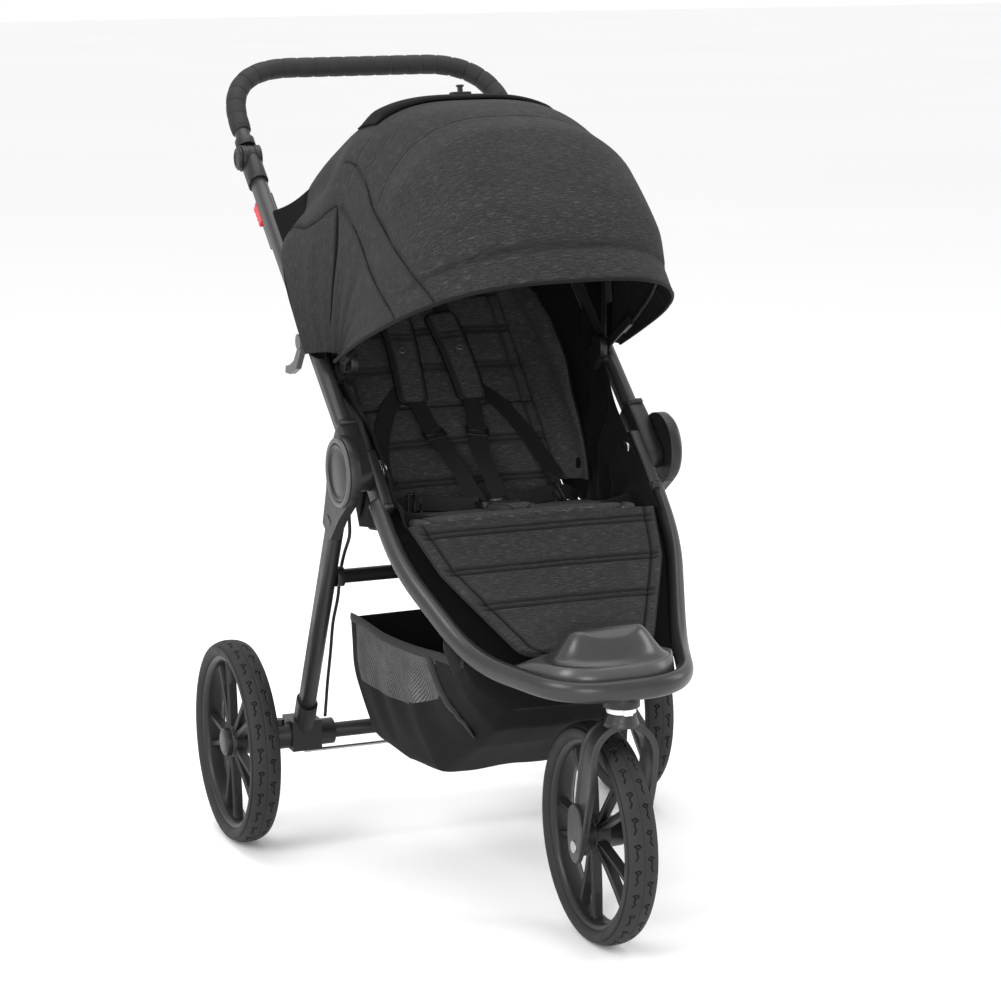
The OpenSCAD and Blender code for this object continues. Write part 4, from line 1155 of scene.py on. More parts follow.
def rim_points(place, length, half, n=60):
    """Outline of a panel, for piping."""
    s = np.linspace(0, length, n)
    right = [place(a, half(a), 0.0) for a in s]
    left = [place(a, -half(a), 0.0) for a in s[::-1]]
    return right + left


def piping(name, path, body, r=0.0016, key="piping", closed=True):
    pts = [np.array(p) for p in path]
    if closed:
        pts = pts + [pts[0]]
    pts = resample(pts, 0.006)
    obj = paint(sweep(name, pts, ellipse(2 * r, 2 * r, 8), up=(0.31, -0.52, 0.8)), key)
    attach(obj, body)
    return obj


def rounded_half(w, length, r0, r1=None):
    """Half width along a panel with rounded corners."""
    r1 = r0 if r1 is None else r1

    def half(s):
        for d, r in ((s, r0), (length - s, r1)):
            if d < r:
                return w - r + math.sqrt(max(r * r - (r - d) ** 2, 0)) * 0.999
        return w
    return half


def place_from(place, s0, h0):
    return lambda s, x, h: place(s + s0, x, h + h0)


def finish_pad(obj, body, nodes):
    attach(obj, body)
    if nodes:
        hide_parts(*nodes)
    return obj


seat_half = rounded_half(SEAT_W / 2 - 0.001, SEAT_L, 0.02, 0.012)
seat = quilted("seat_cushion_quilted", place_from(on_seat, 0, -PAD_T / 2), SEAT_L - 0.001, seat_half,
               PAD_T - 0.001,
               channels=(0.062, 0.128), crown=0.003, roll=0.011, seams=(0.022,), seed=3.1)
finish_pad(seat, "front_frame", ["seat_cushion"])
piping("seat_piping", rim_points(place_from(on_seat, 0, -PAD_T / 2), SEAT_L - 0.001, seat_half),
       "front_frame")

CALF_L, CALF_FROM = 0.236, 0.0145


def calf_half(s):
    s = s + CALF_FROM
    w = np.interp(s, [0, 0.10, 0.145, 0.25], [0.180, 0.158, 0.138, 0.090])
    return w - 0.012 * max(0, 1 - (CALF_L + CALF_FROM - 0.003 - s) / 0.012) ** 2


calf = quilted("calf_rest_quilted", place_from(on_calf, CALF_FROM, 0.006), CALF_L - 0.002, calf_half, 0.011,
               channels=(0.022, 0.088, 0.150), crown=0.0022, roll=0.006, seams=(0.016,), key="calf",
               step=0.0024, seed=7.7)
finish_pad(calf, "calf_rest", ["calf_panel"])
piping("calf_piping", rim_points(place_from(on_calf, CALF_FROM, 0.006), CALF_L - 0.002, calf_half),
       "calf_rest", key="cloth")

BACK_SKIP = 0.180
low_half = rounded_half(BACK_W / 2, BACK_SKIP, 0.006, 0.001)
low = quilted("backrest_lower_quilted", place_from(on_back, 0.0005, -PAD_T / 2), BACK_SKIP - 0.0007,
              low_half, PAD_T,
              channels=(0.048, 0.114), crown=0.003, roll=0.008, seams=(0.02,), seed=11.3)
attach(low, "backrest_part")
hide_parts("lower_back")
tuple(on_back(0.09, 0, -PAD_T))
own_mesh(low)
up_half = rounded_half(BACK_W / 2, BACK_L - BACK_SKIP, 0.001, 0.03)
upper = quilted("backrest_upper_quilted", place_from(on_back, BACK_SKIP, -PAD_T / 2), BACK_L - BACK_SKIP,
                up_half, PAD_T,
                channels=(0.000, 0.066, 0.132, 0.198, 0.264), crown=0.003, roll=0.008, seams=(0.02,),
                seed=14.9)
finish_pad(upper, "backrest_part", ["backrest"])


# ---------------------------------------------------------------- harness
def strap(name, path, width, thick, normal, key="webbing", step=0.004):
    """Flat webbing with a slightly raised selvedge."""
    pts = resample(smooth_path(path, 10), step)
    w, t = width / 2, thick / 2
    section = [(w, -t * 0.6), (w, t * 0.6), (w * 0.93, t), (w * 0.86, t * 0.8), (0, t * 0.9),
               (-w * 0.86, t * 0.8), (-w * 0.93, t),
               (-w, t * 0.6), (-w, -t * 0.6), (-w * 0.9, -t), (w * 0.9, -t)]
    obj = paint(sweep(name, pts, section, up=normal), key)
    m = len(section)
    layer = obj.data.attributes.new("weave", "FLOAT_VECTOR", "POINT")
    for i in range(len(pts)):
        for j, (a, _) in enumerate(section):
            layer.data[i * m + j].vector = (a, i * step, 0)
    return obj


BACK_NORMAL = np.array((0, -math.sin(BACK_SLOPE), math.cos(BACK_SLOPE)))
SEAT_NORMAL = np.array((0, -math.sin(SEAT_SLOPE), math.cos(SEAT_SLOPE)))


def harness():
    for s, side in ((-1, "left"), (1, "right")):
        tilt = math.radians(4) * s
        foot, x0 = 0.180, 0.046 * s

        def pad_place(a, x, h, tilt=tilt, x0=x0, foot=foot):
            bow = 0.010 * math.sin(math.pi * min(max(a / 0.16, 0), 1))
            return on_back(foot + a * math.cos(tilt) + x * math.sin(tilt), x0 - a * math.sin(tilt) + x,
                           h + 0.0075 + bow * 0.6)

        half = rounded_half(0.0235, 0.158, 0.010, 0.012)
        pad = quilted(f"shoulder_pad_{side}", pad_place, 0.158, lambda a: half(a) * (0.92 + 0.9 * a), 0.011,
                      channels=(0.112,),
                      crown=0.002, roll=0.007, seams=(0.004,), step=0.003, crease=0.0018, seed=20.5 + s)
        paint(pad, "pad")
        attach(pad, "backrest_part")
        if s > 0:
            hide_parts("shoulder_pads")
        piping(f"shoulder_pad_piping_{side}", rim_points(pad_place, 0.158,
                                                         lambda a: half(a) * (0.92 + 0.9 * a)),
                                                         "backrest_part",
               r=0.0014)
        snap = lathe(f"shoulder_snap_{side}", [(0, 0.0026), (0.003, 0.0024), (0.0036, 0.0032),
                                               (0.0052, 0.003), (0.006, 0.0012),
                                               (0.006, -0.002), (0, -0.002)], (0, 0, 0), 32, axis="Z")
        recalc(snap)
        snap.data.shade_smooth()
        spot = pad_place(0.085, 0.004 * s, 0.0078)
        snap.data.transform(Matrix.Translation(Vector(spot)) @ Matrix.Rotation(BACK_SLOPE, 4, "X"))
        paint(snap, "lever")
        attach(snap, "backrest_part")
        line = [on_back(0.47, 0.044 * s, 0.001), on_back(0.40, 0.041 * s, 0.006),
                on_back(0.33, 0.042 * s, 0.0075),
                on_back(0.25, 0.047 * s, 0.007), on_back(0.19, 0.043 * s, 0.010),
                on_back(0.12, 0.033 * s, 0.016),
                on_back(0.075, 0.024 * s, 0.026), on_seat(0.138, 0.017 * s, 0.012),
                on_seat(0.126, 0.014 * s, 0.009)]
        web = strap(f"shoulder_webbing_{side}", line, 0.025, 0.0016, BACK_NORMAL)
        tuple(on_back(0.03, 0, 0))
        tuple(on_back(0.16, 0, 0))
        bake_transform(web)
        side_line = [on_back(0.205, 0.058 * s, 0.004), on_back(0.175, 0.085 * s, 0.004),
                     on_back(0.12, 0.110 * s, 0.004),
                     on_back(0.07, 0.122 * s, 0.008), on_back(0.040, 0.125 * s, 0.018),
                     on_back(0.028, 0.118 * s, 0.024)]
        loop_web = strap(f"side_webbing_{side}", side_line, 0.025, 0.0016, BACK_NORMAL)
        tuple(on_back(0.03, 0, 0))
        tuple(on_back(0.16, 0, 0))
        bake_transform(loop_web)
        waist = [on_seat(0.172, 0.146 * s, 0.004), on_seat(0.160, 0.128 * s, 0.014),
                 on_seat(0.150, 0.095 * s, 0.016),
                 on_seat(0.138, 0.060 * s, 0.012), on_seat(0.126, 0.034 * s, 0.010),
                 on_seat(0.121, 0.024 * s, 0.010)]
        belt = strap(f"waist_webbing_{side}", waist, 0.025, 0.0016, (0, -0.75, 0.66))
        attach(belt, "front_frame")
        if s > 0:
            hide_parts("waist_straps")
        adjuster(f"waist_adjuster_{side}", waist[1] * 0.35 + waist[2] * 0.65, (s, 0.3, 0.02),
                 (0, -0.75, 0.66), "front_frame")
        adjuster(f"shoulder_adjuster_{side}", line[5], line[6] - line[5], BACK_NORMAL, "backrest_part")


def adjuster(name, where, along, normal, body):
    """Plastic slide with two slots' worth of bars round the webbing."""
    t = np.array(along, float)
    t /= np.linalg.norm(t)
    n = np.array(normal, float)
    n -= t * (n @ t)
    n /= np.linalg.norm(n)
    b = np.cross(n, t)
    frame_path = [where + t * a + b * c for a, c in
                  ((-0.009, -0.0155), (0.009, -0.0155), (0.009, 0.0155), (-0.009, 0.0155))]
    ring = rounded_path([frame_path[0] * 0.5 + frame_path[3] * 0.5] + frame_path
                        + [frame_path[0] * 0.5 + frame_path[3] * 0.5],
                        [0, 0.003, 0.003, 0.003, 0.003, 0], 4)
    parts = [sweep("ring", ring, ellipse(0.0034, 0.0038, 10), up=n)]
    parts.append(sweep("bar", [where - b * 0.015 + n * 0.0012, where + b * 0.015 + n * 0.0012],
                       ellipse(0.003, 0.003, 10), up=n))
    obj = paint(join(name, *parts), "casting")
    obj.data.shade_smooth()
    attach(obj, body)
    return obj


harness()

crotch_half = rounded_half(0.026, 0.064, 0.010)
crotch = quilted("crotch_pad_quilted", place_from(on_seat, 0.028, 0.0055), 0.064, crotch_half, 0.009,
                 crown=0.0015, roll=0.005,
                 seams=(0.005,), step=0.0025, crease=0.0015, seed=31)
finish_pad(crotch, "front_frame", ["crotch_pad"])
crotch_web = strap("crotch_webbing", [on_seat(0.040, 0, 0.011), on_seat(0.070, 0, 0.013),
                                      on_seat(0.100, 0, 0.011)], 0.024, 0.0016,
                   SEAT_NORMAL)
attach(crotch_web, "front_frame")


def pull_loop():
    pts = []
    for a in np.linspace(-100, 260, 36):
        r = math.radians(a)
        pts.append(on_seat(SEAT_L - 0.030 + 0.012 * math.sin(r), -0.090 + 0.017 * math.cos(r),
                           0.006 + 0.004 * math.cos(r)))
    obj = strap("pull_strap_loop", pts, 0.018, 0.0014, SEAT_NORMAL, key="bolster")
    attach(obj, "front_frame")
    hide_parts("pull_strap")


pull_loop()


# ---------------------------------------------------------------- sheets and basket
def cloth_grid(name, points, key, thick=0.0014, back_key=None):
    """Sheet from rows of points, given a little thickness. Returns the object, its width, length and area."""
    pts = np.array(points)
    rows, cols = pts.shape[:2]
    obj = new_piece(name, pts.reshape(-1, 3), grid_faces(rows, cols))
    across = np.cumsum(np.linalg.norm(np.diff(pts, axis=1, prepend=pts[:, :1]), axis=2), axis=1)
    down = np.cumsum(np.linalg.norm(np.diff(pts, axis=0, prepend=pts[:1]), axis=2), axis=0)
    layer = obj.data.attributes.new("weave", "FLOAT_VECTOR", "POINT")
    layer.data.foreach_set("vector", np.stack([across, down, 0 * down], -1).astype(np.float32).ravel())
    area = sum(f.area for f in obj.data.polygons)
    obj.data.materials.append(MAT[key])
    if back_key:
        obj.data.materials.append(MAT[back_key])
    mod = add_solidify(obj, thick, 0.0)
    if back_key:
        mod.material_offset = 1
    apply_modifiers(obj)
    obj.data.shade_smooth()
    return obj, float(across.max()), float(down.max()), area


def declare_sheet(made):
    obj, w, l, area = made
    l = max(l, area / w)
    return obj


def on_upper(r, x, h=0.0):
    """Point of the upper tube's line, r from the hub; h above it."""
    ca, sa = math.cos(UPPER_ANGLE), math.sin(UPPER_ANGLE)
    return at(x, r * ca - h * sa, r * sa + h * ca)


def side_panel(name, s):
    """Slack black cloth from the backrest's edge out to the upper tube."""
    rows, cols = 70, 26
    pts = []
    for i in range(rows):
        k = i / (rows - 1)
        corner = (SEAT_W - BACK_W) / 2 * max(0, 1 - k / 0.07)
        back = on_back(k * (BACK_L - 0.008), BACK_W / 2 + 0.0025 + corner, -PAD_T / 2)
        r = 0.028 + k * 0.497
        inner = TUBE_X - TUBE_W / 2 - 0.0016
        tube = on_upper(r, 0.1845 + (inner - 0.1845) * smoothstep(0.085, 0.14, r), 0.004)
        row = []
        for j in range(cols):
            f = j / (cols - 1)
            p = back + (tube - back) * f
            slack = math.sin(math.pi * f)
            gather = math.sin(k * 58 + 3 * math.sin(f * 5 + k * 9)) * 0.0022 + noise.noise((k * 9, f * 5,
                                                                                            2.0)) * 0.006
            p = p + np.array((0.55, 0.3, -0.3)) * slack * (gather * math.sin(math.pi * min(max(k, 0.02),
                                                                                           0.98)) + 0.004)
            row.append(p * (s, 1, 1))
        pts.append(row)
    made = cloth_grid(name, pts, "lining")
    obj = declare_sheet(made)
    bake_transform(obj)
    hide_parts("seat_side_left" if s < 0 else "seat_side_right")


def wing(name, s):
    """Grey side wing, sewn to the backrest's edge and folded forwards."""
    rows, cols = 66, 30
    pts = []
    for i in range(rows):
        k = i / (rows - 1)
        along = 0.035 + k * 0.38
        reach = 0.088 * math.sin(math.pi * (0.10 + 0.88 * k)) ** 0.8 * (1 - 0.30 * k) + 0.004
        row = []
        for j in range(cols):
            f = j / (cols - 1)
            fold = 0.016 * math.sin(2.0 * math.pi * f * (0.75 + 0.3 * k)) * f
            drape = noise.noise((k * 5 + s, f * 2.2, 4.0)) * 0.007 * f
            out = 0.040 * f ** 1.2 + fold + drape
            row.append(on_back(along - 0.03 * f * (1 - k), (BACK_W / 2 - 0.006 + min(out, 0.046)) * s,
                               0.003 + reach * f ** 0.85))
        pts.append(row)
    made = cloth_grid(name, pts, "pad", 0.003)
    obj = declare_sheet(made)
    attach(obj, "backrest_part")
    edge = [row[-1] for row in pts]
    hem = piping(name + "_hem", edge, "backrest_part", r=0.0018, closed=False)
    return obj, hem


def corner_gusset(name, s):
    """Crumpled black cloth that closes the corner between seat, wing and front loop."""
    rows, cols = 46, 34
    pts = []
    for i in range(rows):
        k = i / (rows - 1)
        low = on_seat(0.002 + (SEAT_L + 0.008) * k, SEAT_W / 2 + 0.0015, -0.012)
        high = on_upper(-0.115 + 0.38 * k, 0.183 + 0.014 * smoothstep(0.45, 0.8, k), 0.016)
        row = []
        for j in range(cols):
            f = j / (cols - 1)
            p = low + (high - low) * f
            slack = math.sin(math.pi * f) * math.sin(math.pi * (0.06 + 0.88 * k))
            fold = 0.010 * noise.noise((k * 7.0, f * 3.2 + 5, s)) + 0.005 * math.sin(k * 30 + f * 6)
            p = p + np.array((-0.9, 0.1, 0.2)) * slack * (0.010 + fold)
            row.append(p * (s, 1, 1))
        pts.append(row)
    made = cloth_grid(name, pts, "lining")
    obj = declare_sheet(made)
    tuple(on_seat(0.1, 0, 0.01))
    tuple(on_seat(0.1, 0, 0.05))
    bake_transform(obj)


def rear_panel():
    """Closes the back, from the canopy's rear arch down to the top of the backrest."""
    rows, cols = 40, 90
    t = np.linspace(26, 154, cols)
    arch = [canopy_point(0.004, a, canopy_lift(0.004, a) - 0.004) for a in t]
    pts = []
    for i in range(rows):
        k = i / (rows - 1)
        row = []
        for j in range(cols):
            x = arch[j][0]
            back = on_back(BACK_L - 0.012, np.clip(x, -BACK_W / 2 + 0.008, BACK_W / 2 - 0.008), -PAD_T + 0.0)
            p = arch[j] + (back - arch[j]) * k
            sag = math.sin(math.pi * k) * (0.010 + 0.003 * noise.noise((j * 0.16, i * 0.05,
                                                                        9.0)) + 0.0016 * math.sin(j * 0.55))
            row.append(p + np.array((0, 0.8, -0.5)) * sag)
        pts.append(row)
    made = cloth_grid("canopy_rear_panel", pts, "cloth", 0.0016, "lining")
    obj = declare_sheet(made)
    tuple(on_back(BACK_L - 0.02, 0, -PAD_T))
    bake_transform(obj)


def knee_strip():
    """Cloth that joins the seat's front edge to the top of the calf rest."""
    seat_edge, calf_edge = on_seat(0.003, 0, -0.013), on_calf(CALF_FROM + 0.004, 0, 0.003)
    pts = []
    for k in np.linspace(0, 1, 10):
        row = []
        for x in np.linspace(-0.166, 0.166, 60):
            p = seat_edge + (calf_edge - seat_edge) * k + np.array((x, 0, 0))
            row.append(p + np.array((0, 0, -0.003)) * math.sin(math.pi * k))
        pts.append(row)
    made = cloth_grid("knee_strip", pts, "lining")
    obj = declare_sheet(made)
    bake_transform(obj)
    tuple(seat_edge)
    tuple(calf_edge)


knee_strip()


def arch_skirt(name, s):
    """Black strip that closes the gap between the canopy's rear edge and the upper tube."""
    rows, cols = 60, 8
    pivot_r = float((CANOPY_PIVOT - HUB) @ UPPER_DIR)
    pts = []
    for t in np.linspace(0.6, 58, rows):
        edge = canopy_point(0.004, t, canopy_lift(0.004, t) - 0.0012)
        reach = math.hypot(edge[1] - CANOPY_PIVOT[0], edge[2] - CANOPY_PIVOT[1])
        tube = on_upper(min(pivot_r + reach * 0.98, 0.55), TUBE_X, TUBE_D / 2 + 0.001)
        row = []
        for f in np.linspace(0, 1, cols):
            p = tube + (edge - tube) * f
            row.append((p + np.array((0, -0.3, -0.7)) * 0.006 * math.sin(math.pi * f)) * (s, 1, 1))
        pts.append(row)
    made = cloth_grid(name, pts, "lining")
    obj = declare_sheet(made)
    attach(obj, "upper_frame")


for s, side in ((-1, "left"), (1, "right")):
    arch_skirt(f"arch_skirt_{side}", s)
    side_panel(f"side_panel_{side}", s)
    wing(f"side_wing_{side}", s)
    corner_gusset(f"corner_gusset_{side}", s)
rear_panel()


def hub_casting(name, body, node, x0, x1, along, sign):
    """Slim casting round the fold bolt that runs out into the tube's socket; sign -1 is the loop's side."""
    slope = UPPER_ANGLE if sign > 0 else LOOP_ANGLE
    half = TUBE_D / 2 + 0.0055
    parts = []
    for s in (-1, 1):
        place = side_place(x0, HUB, slope, s)
        outline = [(-0.024, -half * 0.86), (along * 0.55, -half), (along, -half + 0.002),
                   (along, half - 0.002),
                   (along * 0.55, half), (-0.024, half * 0.86), (-0.031, 0)]
        outline = [(sign * a, b) for a, b in outline]
        parts.append(extruded("block", [tuple(p) for p in rounded_outline(outline, 0.010, 5)], x1 - x0,
                              place, 0.003, 3))
        step = side_place(x0 + 0.0015, HUB, slope, s)
        collar = [(sign * a, b) for a, b in ((along - 0.008, -half - 0.0012), (along, -half - 0.0012),
                                             (along, half + 0.0012), (along - 0.008, half + 0.0012))]
        parts.append(extruded("collar", collar, x1 - x0 - 0.003, step, 0.0015, 2))
    obj = join(name, *parts)
    recalc(obj)
    obj.data.shade_smooth()
    paint(obj, "casting")
    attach(obj, body)
    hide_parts(node)


hub_casting("upper_hub_casting", "upper_frame", "upper_castings", 0.1985, 0.2256, 0.076, 1)
hub_casting("loop_hub_casting", "front_frame", "loop_castings", 0.1865, 0.2025, 0.078, -1)


def front_sling():
    """Black cloth under the calf rest, slung between the two sides of the front loop."""
    right = [p for p in LOOP if p[0] > 0]
    right = [p for p in right if p[1] > HUB[0] + PLATE_REAR - 0.012 and p[1] < HUB[0] - 0.030]
    rows, cols = 50, 40
    pts = []
    for i in range(rows):
        p = right[int(round(i / (rows - 1) * (len(right) - 1)))]
        k = i / (rows - 1)
        row = []
        for j in range(cols):
            f = j / (cols - 1) * 2 - 1
            sag = (1 - f * f) * (0.030 + 0.004 * noise.noise((k * 6, f * 3, 2.7)))
            w = p[0] - TUBE_W / 2 + 0.003
            row.append(np.array((f * w, p[1] - 0.3 * sag, p[2] - 0.004 - sag)))
        pts.append(row)
    made = cloth_grid("front_sling", pts, "lining")
    obj = declare_sheet(made)
    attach(obj, "front_frame")


front_sling()

AXLE_Z = REAR_AXLE[1] - HUB[1]
REAR_REACH = REAR_AXLE[0] - HUB[0]
BASKET = [(SWIVEL + 0.173, 0.146, 0.084, LOOP_Z + 0.002, LOOP_Z - 0.066),
          (SWIVEL + 0.195, 0.148, 0.092, LOOP_Z - 0.002, LOOP_Z - 0.100),
          (SWIVEL + 0.245, 0.152, 0.098, LOOP_Z - 0.002, LOOP_Z - 0.136),
          (SWIVEL + 0.345, 0.158, 0.112, LOOP_Z - 0.008, AXLE_Z + 0.020),
          (REAR_REACH - 0.225, 0.162, 0.118, LOOP_Z - 0.016, AXLE_Z + 0.008),
          (REAR_REACH - 0.100, 0.162, 0.118, LOOP_Z - 0.022, AXLE_Z + 0.008)]
BASKET_Y = [b[0] for b in BASKET]


def basket_section(y):
    return [float(np.interp(y, BASKET_Y, [b[i] for b in BASKET])) for i in (1, 2, 3, 4)]


def mesh_share(y, f):
    """Whether a point of the basket's side, f from rim to floor, is in its mesh window."""
    k = (y - BASKET_Y[0]) / (BASKET_Y[-1] - BASKET_Y[0])
    return 0.22 < k < 0.95 and 0.0 < f < 0.44 + 0.10 * k


def basket():
    """Sewn shell that sags between its straps, with mesh windows in both sides."""
    rows = 96
    ys = np.linspace(BASKET_Y[0], BASKET_Y[-1], rows)
    side_n, floor_n = 44, 40
    pts, kinds = [], []
    for i, y in enumerate(ys):
        top_w, low_w, top_z, low_z = basket_section(y)
        k = i / (rows - 1)
        row, kind = [], []
        dip = 0.008 * math.sin(math.pi * min(max((k - 0.03) / 0.88, 0), 1)) ** 1.3
        for j in range(side_n):
            f = j / (side_n - 1)
            z = (top_z - dip) + (low_z + 0.012 - top_z + dip) * f
            w = top_w + (low_w + 0.010 - top_w) * f + 0.010 * math.sin(math.pi * f)
            gathers = 0.0013 * math.sin(k * 30 + f * 2.2) + 0.0030 * noise.noise((k * 7, f * 3, 1.5))
            pleats = gathers * math.sin(math.pi * f) ** 0.7
            row.append((-(w + pleats), y, z))
            kind.append(mesh_share(y, f))
        for j in range(1, floor_n):
            f = j / floor_n
            x = -(low_w + 0.010) + 2 * (low_w + 0.010) * f
            edge = min(f, 1 - f) * floor_n / 4.0
            turn_up = 0.012 * math.sqrt(max(1 - max(0, 1 - edge) ** 2, 0))
            z = low_z + 0.012 - turn_up + 0.004 * noise.noise((x * 14, y * 12, 6.6))
            row.append((x, y, z))
            kind.append(False)
        left = row[:side_n]
        row += [(-p[0], p[1], p[2]) for p in reversed(left)]
        kind += list(reversed(kind[:side_n]))
        pts.append(row)
        kinds.append(kind)
    cols = len(pts[0])
    verts = [at(*p) for row in pts for p in row]
    faces = grid_faces(rows, cols)
    mats = [1 if kinds[f[0] // cols][f[0] % cols] and kinds[f[2] // cols][f[2] % cols] else 0 for f in faces]
    for end, row in ((0, pts[0]), (1, pts[-1])):
        levels = 14
        base = len(verts)
        for level in range(levels + 1):
            k = level / levels
            for p in row[:cols // 2 + 1]:
                verts.append(at(p[0] * (1 - 2 * k),
                                p[1] + (0.006 if end else -0.006) * math.sin(math.pi * k), p[2]))
        half = cols // 2 + 1
        wall = grid_faces(levels + 1, half, start=base)
        faces += wall if end else [f[::-1] for f in wall]
        mats += [0] * len(wall)
    obj = new_piece("basket_shell", verts, faces)
    for key in ("basket", "mesh"):
        obj.data.materials.append(MAT[key])
    for f, m in zip(obj.data.polygons, mats):
        f.material_index = m
    weave_from(obj, lambda co: (co.y + co.x * 0.25, co.z + co.x))
    bm = bmesh.new()
    bm.from_mesh(obj.data)
    bmesh.ops.remove_doubles(bm, verts=bm.verts, dist=0.0004)
    bmesh.ops.recalc_face_normals(bm, faces=bm.faces)
    bm.to_mesh(obj.data)
    bm.free()
    add_solidify(obj, 0.0014, 0.0)
    apply_modifiers(obj)
    obj.data.shade_smooth()
    rim_line = [at(*row[0]) for row in pts]
    other = [p * (-1, 1, 1) for p in rim_line[::-1]]
    trims = [sweep("rim_binding", resample(rim_line, 0.005), ellipse(0.004, 0.013, 12), up=(0, 0, 1)),
             sweep("rim_binding2", resample(other, 0.005), ellipse(0.004, 0.013, 12), up=(0, 0, 1))]
    for s in (-1, 1):
        strip = []
        for f in np.linspace(0.02, 1.0, 16):
            y = BASKET_Y[0] + 0.050 + 0.055 * (1 - f) ** 1.5 + 0.012 * f
            i = int(round((y - BASKET_Y[0]) / (BASKET_Y[-1] - BASKET_Y[0]) * (rows - 1)))
            p = pts[i][int(round(f * (side_n - 1)))]
            strip.append(at(-s * p[0] + s * 0.0016, y, p[2]))
        trims.append(sweep("side_tape", smooth_path(strip, 4),
                           [(0.009, 0), (0, 0.0012), (-0.009, 0), (0, -0.0008)], up=(s, 0, 0.2)))
    binding = join("basket_binding", *trims)
    paint(binding, "webbing")
    binding.data.shade_smooth()
    for piece in (obj, binding):
        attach(piece, "rear_frame")
        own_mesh(piece)
    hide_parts("basket")


def mesh_material():
    """Open net: dark threads over paler gaps, with a fine pitch; the paler gaps are painted light for the
    backdrop seen through the holes.
    """
    mat, tree, shader = new_material("basket_mesh")
    coords = weave_coords(tree)
    mapping = add_node(tree, "ShaderNodeMapping")
    mapping.inputs["Scale"].default_value = (300, 300, 300)
    mapping.inputs["Rotation"].default_value = (0, 0, math.radians(45))
    tree.links.new(coords, mapping.inputs["Vector"])
    cells = add_node(tree, "ShaderNodeTexVoronoi", Scale=1.0, Randomness=0.15)
    cells.feature = "F1"
    tree.links.new(mapping.outputs["Vector"], cells.inputs["Vector"])
    # Painted light: the pale cell middles stand in for the bright backdrop showing through the net.
    colour = ramp(tree, cells.outputs["Distance"], [(0.22, grey(0.16)), (0.36, grey(0.055)),
                                                    (0.48, grey(0.007))])
    slack = noise_field(tree, coords, 26, (1, 1, 1), 3, 0.6)
    shade = ramp(tree, slack, [(0.3, grey(0.35)), (0.7, grey(1.1))])
    tree.links.new(multiply(tree, colour, shade), shader.inputs["Base Color"])
    bumped(tree, shader, cells.outputs["Distance"], 0.0006, 0.6)
    shader.inputs["Roughness"].default_value = 0.7
    return mat


MAT["mesh"] = mesh_material()
basket()


def hanging_straps():
    """Webbing that hangs the front of the basket from the front loop."""
    parts = []
    for s in (-1, 1):
        y = SWIVEL + 0.185
        i = min(range(len(LOOP)), key=lambda k: abs(LOOP[k][1] - HUB[0] - y)
                + (0 if LOOP[k][0] * s > 0 else 9))
        top = LOOP[i]
        low = at(s * (basket_section(y)[0] - 0.002), y, basket_section(y)[2] - 0.012)
        line = [low, low * 0.5 + top * 0.5 + np.array((s * 0.004, 0, 0)),
                top + np.array((-s * 0.004, 0, -TUBE_D / 2 - 0.001))]
        strip = strap("hanger", line, 0.020, 0.0018, (0, 1, 0.1))
        parts.append(strip)
    obj = join("basket_front_straps", *parts)
    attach(obj, "front_frame")


hanging_straps()


# ---------------------------------------------------------------- small fittings
def top_clip():
    """Black vent flap on top of the canopy with a small moulded clip."""
    a = np.linspace(0.285, 0.385, 14)
    t = np.linspace(60, 120, 46)
    A, T = np.meshgrid(a, t, indexing="ij")
    edge = np.minimum(smoothstep(0, 8, T - 60), smoothstep(0, 8, 120 - T))
    lift = canopy_lift(A, T) + 0.0022 + 0.0070 * edge * np.abs(np.sin(np.pi * (A - 0.285) / 0.1)) ** 0.5
    made = cloth_grid("canopy_vent_flap", canopy_point(A, T, lift), "lining", 0.0022)
    obj = declare_sheet(made)
    fan_blend(obj)
    base = canopy_point(0.335, 90, canopy_lift(0.335, 90) + 0.0105)
    tilt = math.radians(REAR_TILT + (BRIM_TILT - REAR_TILT) * 0.335)
    n = np.array((0, math.cos(tilt), math.sin(tilt)))
    f = np.array((0, -math.sin(tilt), math.cos(tilt)))

    def place(x, y, h):
        return tuple(base + np.array((x, 0, 0)) + f * y + n * h)
    parts = [extruded("clip_base", rounded_rect(0.030, 0.014, 0.004), 0.0035, place, 0.001),
             extruded("clip_stem", rounded_rect(0.007, 0.006, 0.002), 0.013, place, 0.0008),
             extruded("clip_head", rounded_rect(0.010, 0.008, 0.002), 0.003,
                      lambda x, y, h: place(x, y, h + 0.0105), 0.0008)]
    clip = paint(join("canopy_vent_clip", *parts), "casting")
    clip.data.shade_smooth()
    fan_blend(clip)


top_clip()


# ---------------------------------------------------------------- CAD nodes that stay
CAD_FINISH = {
    "frame": ["upper_tube_left", "upper_tube_right"],
    "casting": ["rear_leg_left", "rear_leg_right", "handle_sockets", "handle_joints", "axle_brackets",
                "canopy_mounts", "canopy_bow_middle", "canopy_bow_front", "caster_housing", "mid_crossbar",
                "rear_axle", "buckle", "wheel_release_left", "wheel_release_right"],
    "fork": ["suspension_arms"],
    "steel": ["hub_bolts", "brake_rod", "swivel_stem", "suspension_bolt", "front_axle"],
    "lever": ["brake_lever", "fold_lock_bar", "buckle_button"],
    "red": ["fold_latch"],
    "pale": ["swivel_lock"],
    "grip": ["brake_cables"],
}
for key, names in CAD_FINISH.items():
    for name in names:
        node = NODES[name]
        node.data.materials.clear()
        node.data.materials.append(MAT[key])
        weld = node.modifiers.new("weld", "WELD")
        weld.merge_threshold = 0.00002
        add_bevel(node, 0.0009, 2, 40)


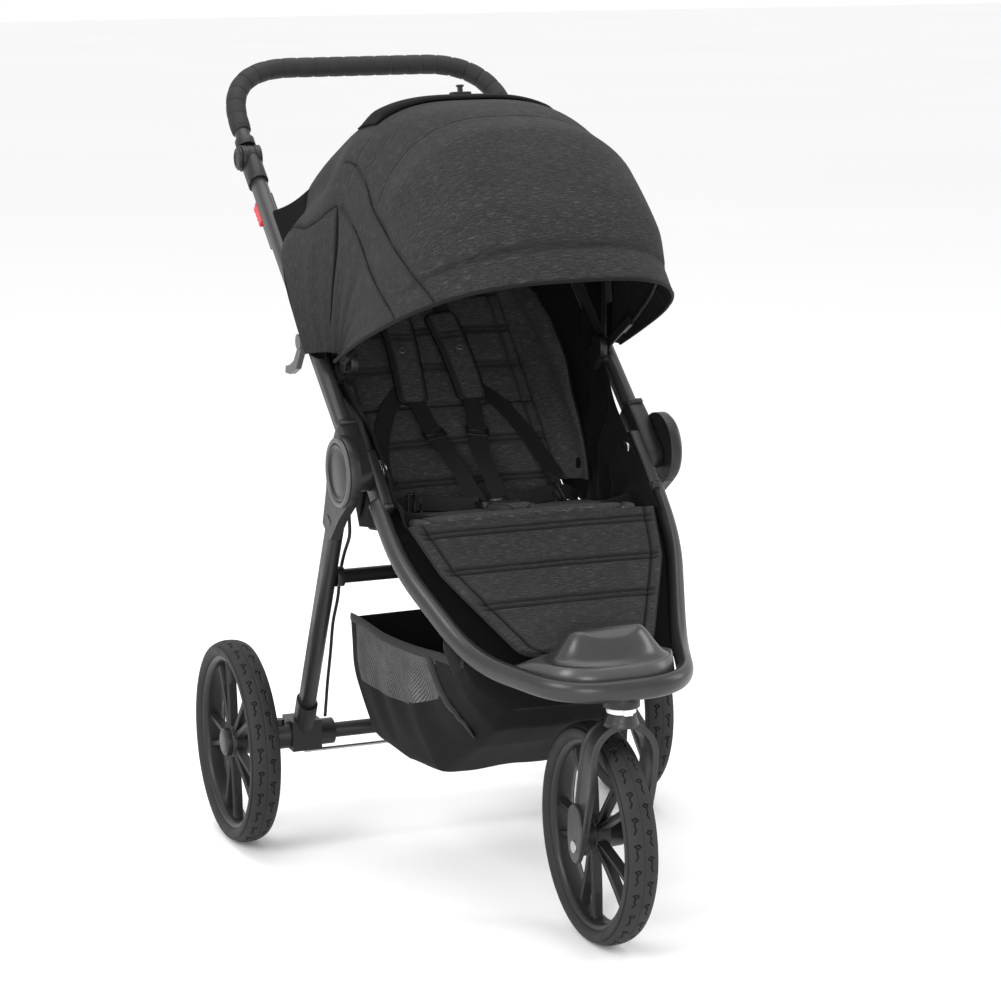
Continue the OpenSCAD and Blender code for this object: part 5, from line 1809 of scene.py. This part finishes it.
# ---------------------------------------------------------------- floor, light and camera
CAMERA_AT = (-1.51213, -3.80453, 1.33394)
CAMERA_ANGLES = (-21.944, 11.323, -0.2512)  # azimuth, elevation, roll
LENS_MM, SENSOR_MM = 108.0, 36.0
FLOOR_HALF = 30
LIGHTS = (  # name, place, height it aims at, size, power
    ("key", (-2.6, -1.4, 2.4), 0.6, (1.2, 1.8), 60),
    ("fill", (3.0, -0.8, 1.8), 0.5, (0.8, 2.0), 26),
    ("top", (0.0, 0.4, 3.6), 0.5, (3.0, 3.0), 60),
    ("front", (-1.1, -3.4, 0.9), 0.55, (1.4, 1.0), 34),
)


def floor():
    mesh = bpy.data.meshes.new("studio_floor")
    h = FLOOR_HALF
    mesh.from_pydata([(-h, -h, 0), (h, -h, 0), (h, h, 0), (-h, h, 0)], [], [(0, 1, 2, 3)])
    obj = bpy.data.objects.new("studio_floor", mesh)
    bpy.context.scene.collection.objects.link(obj)
    mat, tree, shader = new_material("pale_floor")
    coords = object_coords(tree)
    tone = ramp(tree, noise_field(tree, coords, 0.4), [(0.3, grey(0.93)), (0.7, grey(0.95))])
    tree.links.new(tone, shader.inputs["Base Color"])
    shader.inputs["Roughness"].default_value = 0.9
    shader.inputs["Specular IOR Level"].default_value = 0.1
    mesh.materials.append(mat)


def area_light(name, where, target, size, power):
    light = bpy.data.lights.new(name, "AREA")
    light.shape = "RECTANGLE"
    light.size, light.size_y = size
    light.energy = power
    obj = bpy.data.objects.new(name, light)
    bpy.context.scene.collection.objects.link(obj)
    obj.location = where
    obj.rotation_euler = (Vector(target) - Vector(where)).to_track_quat("-Z", "Y").to_euler()


def studio():
    floor()
    world = bpy.data.worlds.new("studio")
    world.use_nodes = True
    world.node_tree.nodes["Background"].inputs["Color"].default_value = (1, 1, 1, 1)
    world.node_tree.nodes["Background"].inputs["Strength"].default_value = 1.0
    bpy.context.scene.world = world
    for name, where, aim_height, size, power in LIGHTS:
        area_light(name, where, (0, 0, aim_height), size, power)
    bpy.context.scene.view_settings.view_transform = "Standard"


def camera():
    azimuth, elevation, roll = (math.radians(a) for a in CAMERA_ANGLES)
    x, y, z = CAMERA_AT
    back = Vector((math.sin(azimuth) * math.cos(elevation), -math.cos(azimuth) * math.cos(elevation),
                   math.sin(elevation)))
    right = Vector((math.cos(azimuth), math.sin(azimuth), 0))
    up = back.cross(right)
    r = math.cos(roll) * right + math.sin(roll) * up
    u = -math.sin(roll) * right + math.cos(roll) * up
    data = bpy.data.cameras.new("camera")
    data.lens = LENS_MM
    data.sensor_width = SENSOR_MM
    obj = bpy.data.objects.new("camera", data)
    obj.matrix_world = Matrix(((r.x, u.x, back.x, x), (r.y, u.y, back.y, y), (r.z, u.z, back.z, z),
                               (0, 0, 0, 1)))
    bpy.context.scene.collection.objects.link(obj)
    bpy.context.scene.camera = obj


studio()
camera()
